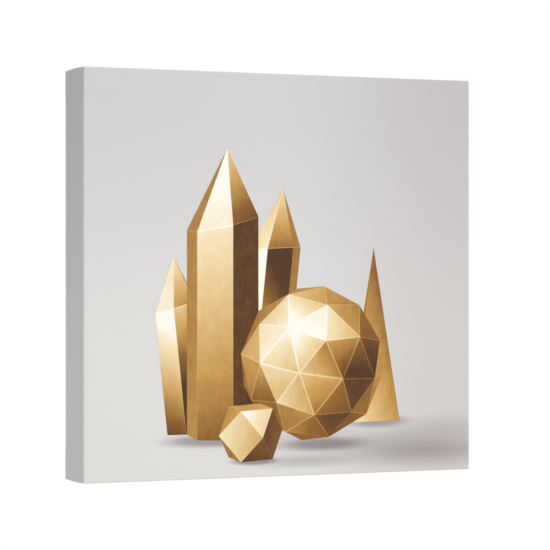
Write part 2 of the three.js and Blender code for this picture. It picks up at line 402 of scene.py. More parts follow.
@dataclass(frozen=True)
class PlainWeave:
    """Plain weave: warp and weft cross over and under at an even pitch, with uneven threads.

    In a cell where sin(pi a) sin(pi b) is positive the warp lies on top, and else the weft. The
    height is the product of the two thread profiles, drawn out along the thread on top.
    """

    drawn_out: float = 0.45
    slub_stretch: float = 0.02
    slub_width: float = 1.6
    slub_height: float = 0.5

    def group(self) -> bpy.types.NodeTree:
        """Builds the node group.

        Returns:
            The group: height, thread profile and slubs by place and pitch, in millimetres.
        """
        board = GroupBoard(
            "plain_weave",
            {"Vector": "Vector", "Pitch": "Float"},
            {"Height": "Float", "Thread": "Float", "Slub": "Float"},
        )
        place = board.taken["Vector"]
        u, v, _ = board.separate(place)
        wander = board.wander(place, scale=0.12)
        across, along = (self.thread(board, value, wander) for value in (u, v))
        warp_on_top = board.math("GREATER_THAN", board.math("MULTIPLY", across, along), 0.0)
        warp_power = board.mix(warp_on_top, self.drawn_out, 1.0)
        weft_power = board.mix(warp_on_top, 1.0, self.drawn_out)
        warp_height = board.math("POWER", board.math("ABSOLUTE", across), warp_power)
        weft_height = board.math("POWER", board.math("ABSOLUTE", along), weft_power)
        height = board.math("MULTIPLY", warp_height, weft_height)
        long_u, long_v = (
            board.noise(board.stretched(place, stretch), scale=1.0, detail=3.0)
            for stretch in (
                (self.slub_stretch, self.slub_width, 0.0),
                (self.slub_width, self.slub_stretch, 0.0),
            )
        )
        slub = board.mix(warp_on_top, long_u, long_v)
        return board.give(Height=board.scaled(slub, self.slub_height, height), Thread=height, Slub=slub)

    def thread(self, board: GroupBoard, value: Socket, wander: Socket) -> Socket:
        """The wave sin(pi a) of one set of threads, with a in pitches."""
        pitches = board.math("ADD", board.math("DIVIDE", value, board.taken["Pitch"]), wander)
        return board.math("SINE", board.math("MULTIPLY", pitches, math.pi))


@dataclass(frozen=True)
class SawnTimber:
    """Sawn timber with its grain along x: growth rings round a pith, fibres and small knots.

    A ring is the fraction of (distance from the pith) / (ring spacing). It darkens slowly through
    the summer wood and stops sharply. Knots push the rings aside. Lengths are in millimetres.
    """

    pith_drift: float = 46.0
    knot_push: float = 7.0
    summer_height: float = 0.4

    def group(self) -> bpy.types.NodeTree:
        """Builds the node group.

        Returns:
            The group: summer wood, fibres, knots and height by place and spacings.
        """
        board = GroupBoard(
            "sawn_timber",
            {"Vector": "Vector", "Ring Spacing": "Float", "Knot Spacing": "Float"},
            {"Summer": "Float", "Fibre": "Float", "Knot": "Float", "Height": "Float"},
        )
        place = board.taken["Vector"]
        knot_distance = self.knot_distance(board)
        push = board.fade(knot_distance, start=0.35, end=0.03, high=self.knot_push)
        drift = board.wander(board.stretched(place, (0.05, 1.0, 1.0)), scale=0.035)
        _, y, z = board.separate(place)
        pith = board.combine(0.0, board.scaled(drift, self.pith_drift, y), z)
        radius = board.math("ADD", board.vector("LENGTH", pith), push)
        ring = board.math("FRACT", board.math("DIVIDE", radius, board.taken["Ring Spacing"]))
        darkening, stop = board.fade(ring, start=0.25, end=0.9), board.fade(ring, start=1.0, end=0.93)
        summer = board.math("MULTIPLY", darkening, stop)
        fibre_place = board.stretched(place, (0.03, 2.2, 2.2))
        fibre = board.noise(fibre_place, scale=1.0, detail=4.0, roughness=0.65)
        return board.give(
            Summer=summer,
            Fibre=fibre,
            Knot=board.fade(knot_distance, start=0.075, end=0.045),
            Height=board.scaled(summer, self.summer_height, fibre),
        )

    def knot_distance(self, board: GroupBoard) -> Socket:
        """How far the nearest knot is.

        Args:
            board: The group's board.

        Returns:
            The distance, with the knots' spacing as 1.
        """
        feeds = {
            "Vector": board.stretched(board.taken["Vector"], (0.55, 1.0, 1.0)),
            "Scale": board.math("DIVIDE", 1.0, board.taken["Knot Spacing"]),
        }
        cells = board.node("ShaderNodeTexVoronoi", feeds, feature="F1", voronoi_dimensions="3D")
        return cells.outputs["Distance"]


@dataclass(frozen=True)
class HandlingMarks:
    """Fine scratches and dull patches on metal: stretched noise cut to thin lines."""

    stretches: tuple[Triple, ...] = ((0.25, 6.0, 6.0), (5.0, 0.4, 5.0), (4.0, 4.0, 0.3))

    def group(self) -> bpy.types.NodeTree:
        """Builds the node group.

        Returns:
            The group: scratches and dull patches by place and density.
        """
        board = GroupBoard(
            "handling_marks",
            {"Vector": "Vector", "Density": "Float"},
            {"Scratch": "Float", "Dull": "Float"},
        )
        place = board.taken["Vector"]
        lines = []
        for stretch in self.stretches:
            strength = board.noise(board.stretched(place, stretch), board.taken["Density"])
            lines.append(board.fade(strength, start=0.60, end=0.68))
        scratch = board.math("MAXIMUM", board.math("MAXIMUM", lines[0], lines[1]), lines[2])
        return board.give(Scratch=scratch, Dull=board.noise(place, scale=0.6, detail=4.0, roughness=0.6))


class Effects:
    """The shared node groups, each built once."""

    def __init__(self) -> None:
        """Builds the groups."""
        self.weave = PlainWeave().group()
        self.timber = SawnTimber().group()
        self.handling = HandlingMarks().group()


# ------------------------------------------------------------------ printed design

NEARLY_ZERO = 1e-6
FAR = 1e4
TO_VIEWER = np.array([0.0, 1.0, 0.0])
LOOK_DOWN = 9.0  # degrees by which the viewer looks down on the solids


def choices(count: int, size: int) -> Array:
    """Every choice of some of the numbers below count, one column each."""
    return np.array(list(itertools.combinations(range(count), size))).T


def outer_planes(corners: Array, touched: Array, normals: Array) -> Array:
    """Those of some planes that leave every corner behind them, each once.

    Args:
        corners: The corners, one row each.
        touched: A corner on each plane.
        normals: A normal of each plane, of any length and facing either way.

    Returns:
        Outward unit normal and distance from the origin, one row each.
    """
    lengths = np.linalg.norm(normals, axis=1)
    sound = lengths > NEARLY_ZERO
    units = normals[sound] / lengths[sound, None]
    reach = np.einsum("ij,ij->i", units, touched[sound])
    planes = np.column_stack([units, reach])
    planes = np.vstack([planes, -planes])
    ahead = planes[:, :3] @ corners.T - planes[:, 3:]
    outer = (ahead <= NEARLY_ZERO).all(axis=1)
    return np.unique(planes[outer].round(5), axis=0)


def facets_round(corners: Array) -> Array:
    """Facets of the convex solid round some corners: outer planes through three of them."""
    first, second, third = corners[choices(len(corners), 3)]
    return outer_planes(corners, first, np.cross(second - first, third - first))


def outline_round(corners: Array) -> Array:
    """Sides of the outline in view: outer planes through two corners, along the line of view."""
    first, second = corners[choices(len(corners), 2)]
    return outer_planes(corners, first, np.cross(second - first, TO_VIEWER))


def ring_of(count: int, radius: float, height: float, turn: float = 0.0) -> Array:
    """Corners of a level regular polygon, with turn in radians."""
    angles = turn + angles_round(count)
    return np.column_stack([radius * np.cos(angles), radius * np.sin(angles), np.full(count, height)])


def ball_corners(radius: float) -> Array:
    """A geodesic ball: an icosahedron's 12 corners and its 30 edge middles, pushed out.

    The icosahedron is two poles and two rings of five at latitudes of atan(1/2).

    Args:
        radius: Radius of the ball.

    Returns:
        The corners, one row each.
    """
    latitude = math.atan(0.5)
    level, height = math.cos(latitude), math.sin(latitude)
    poles = np.array([[0.0, 0.0, 1.0], [0.0, 0.0, -1.0]])
    corners = np.vstack([poles, ring_of(5, level, height), ring_of(5, level, -height, np.pi / 5)])
    first, second = corners[choices(len(corners), 2)]
    spans = np.linalg.norm(first - second, axis=1)
    middles = (first + second)[spans < spans.min() * 1.01]
    middles /= np.linalg.norm(middles, axis=1)[:, None]
    return np.vstack([corners, middles]) * radius


def spire_corners(radius: float, shoulder: float, tip: float) -> Array:
    """A straight six-sided crystal whose shoulder slopes, and which ends in a point.

    Args:
        radius: Radius of its corners.
        shoulder: Mean height of the shoulder.
        tip: Height of the point.

    Returns:
        The corners, one row each.
    """
    slope, tip_shift = 0.22, 0.12
    top = ring_of(6, radius, shoulder)
    top[:, 2] += slope * top[:, 0]
    return np.vstack([ring_of(6, radius, 0.0), top, [[radius * tip_shift, 0.0, tip]]])


def nugget_corners(radius: float) -> Array:
    """A cuboctahedron: the 12 edge middles of a cube, at one radius from its middle.

    Args:
        radius: Radius of its corners.

    Returns:
        The corners, one row each.
    """
    pairs = np.array(list(itertools.product((-1.0, 1.0), repeat=2)))
    level = np.column_stack([pairs, np.zeros(4)])
    corners = np.vstack([np.roll(level, shift, axis=1) for shift in range(3)])
    return corners * radius / math.sqrt(2.0)


def pyramid_corners(radius: float, height: float) -> Array:
    """A four-sided pyramid on its base."""
    return np.vstack([ring_of(4, radius, 0.0, turn=0.3), [[0.0, 0.0, height]]])


def turned(corners: Array, spin: float, lean: float, tip: float) -> Array:
    """Turns corners about z, then y, then x, by angles in degrees.

    Args:
        corners: Corners with x across, y towards the viewer and z up.
        spin: Turn about the upright axis.
        lean: Lean to the right.
        tip: Tip towards the viewer.

    Returns:
        The turned corners.
    """
    a, b, c = np.radians([spin, lean, tip])
    about_z = np.array([[np.cos(a), -np.sin(a), 0], [np.sin(a), np.cos(a), 0], [0, 0, 1]])
    about_y = np.array([[np.cos(b), 0, np.sin(b)], [0, 1, 0], [-np.sin(b), 0, np.cos(b)]])
    about_x = np.array([[1, 0, 0], [0, np.cos(c), np.sin(c)], [0, -np.sin(c), np.cos(c)]])
    return corners @ (about_x @ about_y @ about_z).T


@dataclass(frozen=True)
class Gleam:
    """A lamp that polished metal mirrors, or a dark screen where the strength is below 0."""

    direction: Triple
    sharpness: float
    strength: float

    def on(self, mirrored: Array) -> Array:
        """The strength times max(0, r.direction) to the power of the sharpness."""
        facing = mirrored @ (np.array(self.direction) / np.linalg.norm(self.direction))
        return self.strength * np.clip(facing, 0.0, None) ** self.sharpness


@dataclass(frozen=True)
class MirroredRoom:
    """The room that the gold mirrors: a soft wave of light and dark, with lamps and screens."""

    level: float = 0.42
    wave: float = 0.09
    wave_way: Triple = (5.6, 1.4, 3.85)
    wave_start: float = 0.6
    darkest: float = 0.03
    gleams: tuple[Gleam, ...] = (
        Gleam((-0.70, 0.30, 0.65), 2.5, 0.62),
        Gleam((0.25, 0.35, 0.90), 5.0, 0.45),
        Gleam((-0.35, 0.75, -0.56), 4.0, 0.18),
        Gleam((0.92, -0.10, -0.38), 1.6, -0.44),
        Gleam((-0.55, -0.55, -0.62), 3.0, -0.25),
    )

    def light(self, normals: Array) -> Array:
        """Brightness that facets mirror to the viewer, up to 1.

        The mirrored direction is r = 2(n.v)n - v, with v towards the viewer.

        Args:
            normals: Unit normals, one row each.

        Returns:
            The brightness of each.
        """
        mirrored = 2.0 * normals[:, 1:2] * normals - TO_VIEWER
        wave = self.wave * np.sin(mirrored @ np.array(self.wave_way) + self.wave_start)
        total = self.level + wave + sum(gleam.on(mirrored) for gleam in self.gleams)
        return np.clip(total, self.darkest, 1.0)


ROOM = MirroredRoom()


@dataclass(frozen=True)
class Motif:
    """One gold solid of the printed design.

    Its corners are in millimetres, with x across, y towards the viewer and z up. It is turned by
    spin and lean, in degrees, and its origin stands at (across, up) on the face.
    """

    name: str
    corners: Array
    spin: float
    lean: float
    across: float
    up: float

    EDGE_ON = 0.02  # facets that face the viewer less than this are left out
    PROBE = 0.12  # bend of a normal by which the light round it is felt out
    CROWN = 0.01296  # bend of a crowned facet's normal in a millimetre
    STEEPEST = 0.012  # steepest slope of the shading
    SOFT_RIM = 0.15  # half the width over which the outline fades, in millimetres

    def stands(self) -> Array:
        """The corners as the viewer sees them, from a little above."""
        return turned(self.corners, self.spin, self.lean, LOOK_DOWN) + (self.across, 0.0, self.up)

    def facet_rows(self) -> tuple[Array, Array]:
        """Depth and shading of each facet in view, as rows that multiply (across, up, 1).

        A facet's depth is (d - nx x - nz z) / ny. Its shading is the light that its middle
        mirrors, with the slope that a slightly crowned facet shows across its width.

        Returns:
            The depth rows and the shading rows.
        """
        corners = self.stands()
        middle = corners.mean(axis=0)
        facets = facets_round(corners - middle)
        facets[:, 3] += facets[:, :3] @ middle
        normals, reach = np.split(facets[facets[:, 1] > self.EDGE_ON], [3], axis=1)
        depth = np.column_stack([-normals[:, [0, 2]], reach]) / normals[:, 1:2]
        on_facet = np.abs(normals @ corners.T - reach) < 1e-2
        middles = (on_facet @ corners) / on_facet.sum(axis=1)[:, None]
        slopes = np.column_stack([self.crown_slope(normals, axis) for axis in (0, 2)])
        start = ROOM.light(normals) - (slopes * middles[:, [0, 2]]).sum(axis=1)
        return depth, np.column_stack([slopes, start])

    def crown_slope(self, normals: Array, axis: int) -> Array:
        """Change of the mirrored light per millimetre along one axis of a crowned facet.

        The light of a normal bent by a small probe gives the change for each part of the bend,
        and a crowned facet's normal bends by CROWN in a millimetre.

        Args:
            normals: Unit normals of the facets.
            axis: 0 for across, 2 for up.

        Returns:
            The slope of each.
        """
        bent = normals + self.PROBE * np.eye(3)[axis]
        bent /= np.linalg.norm(bent, axis=1)[:, None]
        slope = (ROOM.light(bent) - ROOM.light(normals)) / self.PROBE * self.CROWN
        return np.clip(slope, -self.STEEPEST, self.STEEPEST)

    def outline_rows(self) -> Array:
        """Distance inside each side of the outline, as rows that multiply (across, up, 1)."""
        sides = outline_round(self.stands())
        return np.column_stack([-sides[:, [0, 2]], sides[:, 3]])

    def group(self) -> bpy.types.NodeTree:
        """Builds a node group that draws the solid: where it is, its shading, its bright edges.

        The facet in view is the one of least depth. Where the next one is nearly as deep, there
        is an edge between them.

        Returns:
            The group: the three masks by (across, up, 1).
        """
        board = GroupBoard(
            f"print_{self.name}",
            {"Place": "Vector"},
            {"Inside": "Float", "Shade": "Float", "Edge": "Float"},
        )
        depths, shades, sides = (
            [board.vector("DOT_PRODUCT", board.taken["Place"], tuple(row)) for row in rows]
            for rows in (*self.facet_rows(), self.outline_rows())
        )
        nearest, shade = depths[0], shades[0]
        second: Feed = FAR
        for depth, facet_shade in zip(depths[1:], shades[1:]):
            second = board.math("MINIMUM", second, board.math("MAXIMUM", nearest, depth))
            shade = board.mix(board.math("LESS_THAN", depth, nearest), shade, facet_shade)
            nearest = board.math("MINIMUM", nearest, depth)
        inside: Feed = FAR
        for within in sides:
            inside = board.math("MINIMUM", inside, within)
        return board.give(
            Inside=board.fade(inside, -self.SOFT_RIM, self.SOFT_RIM),
            Shade=shade,
            Edge=board.fade(board.math("SUBTRACT", second, nearest), start=0.4, end=0.05),
        )


@dataclass(frozen=True)
class Shadow:
    """A soft printed shadow: an ellipse round (across, up), in millimetres.

    It is as dark as its strength out to its core, a share of the ellipse, and fades from there.
    """

    across: float
    up: float
    reach: float
    height: float
    strength: float
    core: float = 0.0

    def light_left(self, board: Board, across: Socket, up: Socket) -> Socket:
        """Dims the ground by distance from the middle of the ellipse.

        Args:
            board: The design's board.
            across: Place across the face.
            up: Place up the face.

        Returns:
            The share of the light that the shadow leaves.
        """
        x = board.scaled(across, 1 / self.reach, -self.across / self.reach)
        z = board.scaled(up, 1 / self.height, -self.up / self.height)
        distance = board.vector("LENGTH", board.combine(x, z, 0.0))
        return board.fade(distance, self.core, 1.0, low=1.0 - self.strength)


@dataclass(frozen=True)
class Design:
    """The printed design: gold solids on a pale warm grey ground, lit from the left.

    The solids go from the one at the back to the one in front. The shadows are those cast to the
    right, and a tight dark one under each solid. Lengths are in millimetres from the middle.
    """

    ground_low: Triple = linear(226, 225, 222)
    ground_high: Triple = linear(210, 208, 209)
    ground_span: tuple[float, float] = (-78.0, 150.0)
    right_tone: Triple = (0.836, 0.807, 0.812)
    right_span: tuple[float, float] = (-20.0, 155.0)
    shadow_tone: Triple = linear(102, 81, 82)
    mottle: float = 0.16
    brush: float = 0.10
    edge_light: float = 0.20
    gold: tuple[tuple[float, Triple], ...] = (
        (0.0, linear(78, 44, 8)),
        (0.22, linear(142, 93, 27)),
        (0.44, linear(203, 155, 78)),
        (0.64, linear(231, 195, 134)),
        (0.84, linear(248, 228, 184)),
        (1.0, linear(255, 252, 240)),
    )
    # name, corners, spin, lean, across, up
    motifs: tuple[Motif, ...] = (
        Motif("pyramid", pyramid_corners(28.0, 130.0), 22.0, 0.0, 74.0, -108.0),
        Motif("rear_crystal", spire_corners(21.0, 128.0, 174.0), 47.0, 6.0, -20.0, -106.0),
        Motif("left_crystal", spire_corners(18.0, 92.0, 130.0), 35.0, -6.0, -75.0, -114.0),
        Motif("tall_crystal", spire_corners(29.0, 158.0, 214.0), 14.0, 0.0, -48.0, -118.0),
        Motif("ball", ball_corners(59.0), 11.0, 9.0, 24.0, -66.0),
        Motif("nugget", nugget_corners(27.0), 24.0, 0.0, -26.0, -117.0),
    )
    # across, up, reach, height, strength, core
    shadows: tuple[Shadow, ...] = (
        Shadow(132.0, -118.0, 70.0, 14.0, 0.24),
        Shadow(30.0, -124.0, 125.0, 14.0, 0.26),
        Shadow(114.0, -134.0, 112.0, 18.0, 0.52),
        Shadow(32.0, -127.0, 48.0, 7.0, 0.62, 0.25),
        Shadow(-56.0, -122.0, 52.0, 6.5, 0.60, 0.3),
        Shadow(77.0, -111.0, 35.0, 6.5, 0.55, 0.3),
        Shadow(16.0, -139.0, 60.0, 8.0, 0.36),
        Shadow(-23.0, -138.0, 25.0, 4.0, 0.66, 0.4),
    )

    def group(self) -> bpy.types.NodeTree:
        """Builds the node group.

        Returns:
            The group: the printed colour by the place on the face.
        """
        board = GroupBoard("printed_design", {"Place": "Vector"}, {"Ink": "Color"})
        across, up, _ = board.separate(board.taken["Place"])
        row = board.combine(across, up, 1.0)
        covered: Feed = 0.0
        shade: Feed = 0.0
        edge: Feed = 0.0
        for motif in self.motifs:
            drawn = board.group(motif.group(), Place=row)
            covered = board.math("MAXIMUM", covered, drawn["Inside"])
            shade = board.mix(drawn["Inside"], shade, drawn["Shade"])
            edge = board.mix(drawn["Inside"], edge, drawn["Edge"])
        ground = self.shaded_ground(board, across, up)
        return board.give(Ink=board.tint(covered, ground, self.gold_leaf(board, shade, edge)))

    def shaded_ground(self, board: Board, across: Socket, up: Socket) -> Socket:
        """The ground, lightest at the lower left, with its shadows.

        Args:
            board: The design's board.
            across: Place across the face.
            up: Place up the face.

        Returns:
            Its colour.
        """
        ground = board.tint(board.fade(up, *self.ground_span), self.ground_low, self.ground_high)
        right = board.tint(board.fade(across, *self.right_span), (1.0, 1.0, 1.0), self.right_tone)
        ground = board.tint(1.0, ground, right, "MULTIPLY")
        light: Feed = 1.0
        for shadow in self.shadows:
            light = board.math("MULTIPLY", light, shadow.light_left(board, across, up))
        return board.tint(board.math("SUBTRACT", 1.0, light), ground, self.shadow_tone)

    def gold_leaf(self, board: GroupBoard, shade: Socket, edge: Socket) -> Socket:
        """Gold of the given brightness, a little mottled and brushed, with bright edges.

        Args:
            board: The design's board.
            shade: The brightness, from 0 to 1.
            edge: Where the edges are.

        Returns:
            Its colour.
        """
        place = board.taken["Place"]
        mottle = board.wander(place, scale=0.09, detail=5.0, roughness=0.62)
        brush = board.wander(board.stretched(place, (0.9, 0.08, 1.0)), scale=0.9, detail=3.0)
        for light, strength in ((mottle, self.mottle), (brush, self.brush), (edge, self.edge_light)):
            shade = board.scaled(light, strength, shade)
        return board.ramp(shade, self.gold)


# ------------------------------------------------------------------ finishes


@dataclass(frozen=True)
class ClothFinish:
    """Primed and printed cotton canvas, with a raw back, and the loose threads of its edge.

    The flat sheet's size, and the half sizes of the face and of the printed part, are
    (width, height) in millimetres.
    """

    flat: tuple[float, float]
    face_half: tuple[float, float]
    printed_half: tuple[float, float]
    pitch: float = 0.52
    primer: Triple = linear(236, 235, 231)
    raw_dark: Triple = linear(188, 172, 143)
    raw_pale: Triple = linear(228, 217, 194)
    # painted shade in the gaps between threads
    painted_gap_shade: Triple = linear(150, 134, 106)
    husk: Triple = linear(110, 88, 58)
    thread_dark: Triple = linear(205, 194, 170)
    thread_pale: Triple = linear(243, 239, 228)

    def sheet_place(self, board: Board) -> Socket:
        """Finds the place on the flat sheet.

        Args:
            board: The material's board.

        Returns:
            The place in millimetres, from the sheet's middle.
        """
        uv = board.node("ShaderNodeUVMap", uv_map=PRINT_MAP)
        centred = board.vector("SUBTRACT", uv.outputs["UV"], (0.5, 0.5, 0.0))
        return board.stretched(centred, (*self.flat, 0.0))

    def folded(self, board: Board, value: Socket, half: float) -> Socket:
        """Mirrors the design at the edge of the face, so that it runs on round the sides."""
        wrapped = board.math("PINGPONG", board.math("ADD", value, half), 2 * half)
        return board.math("SUBTRACT", wrapped, half)

    def printed(self, effects: Effects, design: bpy.types.NodeTree) -> bpy.types.Material:
        """The outside: the design, its mirrored margins, and bare primer past the print, with painted
        shade in the hollows of the weave.

        Args:
            effects: The shared groups.
            design: The design's group.

        Returns:
            The material.
        """
        board = MaterialBoard("printed_canvas")
        place = self.sheet_place(board)
        level = board.separate(place)[:2]
        across, up = (self.folded(board, value, half) for value, half in zip(level, self.face_half))
        ink = board.group(design, Place=board.combine(across, up, 0.0))["Ink"]
        past_u, past_v = (
            board.math("SUBTRACT", board.math("ABSOLUTE", value), half)
            for value, half in zip(level, self.printed_half)
        )
        bare = board.fade(board.math("MAXIMUM", past_u, past_v), start=-0.1, end=0.1)
        weave = board.group(effects.weave, Vector=place, Pitch=self.pitch)
        # Painted shade: the colour is multiplied by the weave's height, so it is darker in the hollows
        # between threads, with the real uneven tone of the slubs.
        grain = board.scaled(weave["Height"], factor=0.07, start=0.955)
        colour = board.tint(bare, ink, self.primer)
        return board.give(
            Base_Color=board.tint(1.0, colour, board.combine(grain, grain, grain), "MULTIPLY"),
            Roughness=board.scaled(weave["Slub"], factor=0.2, start=0.5),
            Specular_IOR_Level=0.35,
            Normal=board.bump(weave["Height"], strength=0.35, depth=0.12),
        )

    def bare_back(self, effects: Effects) -> bpy.types.Material:
        """The inside: raw cotton with uneven threads, dark flecks of husk, and painted shade in the gaps
        between threads.

        Args:
            effects: The shared groups.

        Returns:
            The material.
        """
        board = MaterialBoard("raw_canvas")
        place = self.sheet_place(board)
        weave = board.group(effects.weave, Vector=place, Pitch=self.pitch)
        # Painted shade: where the thread profile is low, in the gaps between threads, the colour
        # darkens.
        low = board.fade(weave["Thread"], start=0.5, end=0.05, high=0.45)
        fleck = board.fade(board.noise(place, scale=0.55), start=0.735, end=0.77)
        tone = board.tint(weave["Slub"], self.raw_dark, self.raw_pale)
        tone = board.tint(low, tone, self.painted_gap_shade)
        return board.give(
            Base_Color=board.tint(board.math("MULTIPLY", fleck, 0.6), tone, self.husk),
            Roughness=0.9,
            Sheen_Weight=0.15,
            Normal=board.bump(weave["Height"], strength=0.6, depth=0.18),
        )

    def thread(self) -> bpy.types.Material:
        """Loose cotton threads at the cut edge.

        Returns:
            The material.
        """
        board = MaterialBoard("loose_thread")
        patches = board.noise(board.own_place(), scale=0.8)
        tone = board.tint(patches, self.thread_dark, self.thread_pale)
        return board.give(Base_Color=tone, Roughness=0.9)


class Run(Enum):
    """The way that a piece of timber's grain runs, as the turn that brings it to x."""

    LEVEL = (0.0, 0.0, 0.0)
    UPRIGHT = (0.0, math.pi / 2, 0.0)


@dataclass(frozen=True)
class TimberFinish:
    """Planed, unsealed timber, with the spacing of its rings and knots in millimetres."""

    name: str
    pale: Triple
    summer: Triple
    knot: Triple
    ring_spacing: float
    knot_spacing: float
    summer_share: float = 0.75
    roughness: float = 0.62

    def material(self, effects: Effects, run: Run, shift: Triple) -> bpy.types.Material:
        """Builds the finish of one piece of timber.

        Args:
            effects: The shared groups.
            run: The way of the grain.
            shift: Where the piece was sawn from the tree, in millimetres.

        Returns:
            The material.
        """
        board = MaterialBoard(self.name)
        place = board.own_place(run.value, shift)
        spacings = {"Ring_Spacing": self.ring_spacing, "Knot_Spacing": self.knot_spacing}
        wood = board.group(effects.timber, Vector=place, **spacings)
        rings = board.math("MULTIPLY", wood["Summer"], self.summer_share)
        fibres = board.fade(wood["Fibre"], start=0.42, end=0.72, high=0.4)
        patches = board.fade(board.noise(place, scale=0.02), start=0.35, end=0.75, high=0.3)
        tone = board.tint(rings, self.pale, self.summer)
        tone = board.tint(fibres, tone, self.summer)
        tone = board.tint(patches, tone, self.summer)
        return board.give(
            Base_Color=board.tint(board.math("MULTIPLY", wood["Knot"], 0.85), tone, self.knot),
            Roughness=board.scaled(wood["Fibre"], factor=0.2, start=self.roughness - 0.1),
            Specular_IOR_Level=0.3,
            Normal=board.bump(wood["Height"], strength=0.25, depth=0.3),
        )


@dataclass(frozen=True)
class MetalFinish:
    """Plated steel with fine handling marks."""

    name: str
    colour: Triple
    stain: Triple
    roughness: float

    def material(self, effects: Effects) -> bpy.types.Material:
        """Builds the finish.

        Args:
            effects: The shared groups.

        Returns:
            The material.
        """
        board = MaterialBoard(self.name)
        marks = board.group(effects.handling, Vector=board.own_place(), Density=0.9)
        stained = board.fade(marks["Dull"], start=0.4, end=0.75, high=0.7)
        rough = board.scaled(marks["Dull"], factor=0.25, start=self.roughness - 0.1)
        return board.give(
            Base_Color=board.tint(stained, self.colour, self.stain),
            Metallic=1.0,
            Roughness=board.scaled(marks["Scratch"], factor=0.18, start=rough),
            Normal=board.bump(marks["Scratch"], strength=0.15, depth=0.05),
        )


@dataclass(frozen=True)
class RubberFinish:
    """Matt dark rubber with a little dust."""

    name: str
    colour: Triple
    dust: Triple

    def material(self) -> bpy.types.Material:
        """Builds the finish.

        Returns:
            The material.
        """
        board = MaterialBoard(self.name)
        place = board.own_place()
        settled = board.fade(board.noise(place, scale=0.4, detail=4.0), start=0.45, end=0.7, high=0.35)
        speckle = board.noise(place, scale=2.4, detail=3.0, roughness=0.6)
        return board.give(
            Base_Color=board.tint(settled, self.colour, self.dust),
            Roughness=board.scaled(settled, factor=0.3, start=0.62),
            Normal=board.bump(speckle, strength=0.2, depth=0.1),
        )


PINE = TimberFinish(
    name="pine",
    pale=linear(231, 205, 160),
    summer=linear(205, 160, 102),
    knot=linear(138, 88, 46),
    ring_spacing=3.1,
    knot_spacing=95.0,
)
BEECH = TimberFinish(
    name="beech",
    pale=linear(213, 172, 126),
    summer=linear(182, 135, 90),
    knot=linear(150, 100, 60),
    ring_spacing=1.3,
    knot_spacing=900.0,
    summer_share=0.5,
    roughness=0.55,
)
WIRE = MetalFinish("staple_wire", (0.56, 0.565, 0.57), (0.42, 0.425, 0.43), roughness=0.32)
ZINC = MetalFinish("zinc_steel", (0.60, 0.585, 0.54), (0.47, 0.45, 0.39), roughness=0.33)
RUBBER = RubberFinish("bumper_rubber", linear(44, 44, 45), linear(120, 117, 112))


# ------------------------------------------------------------------ cloth


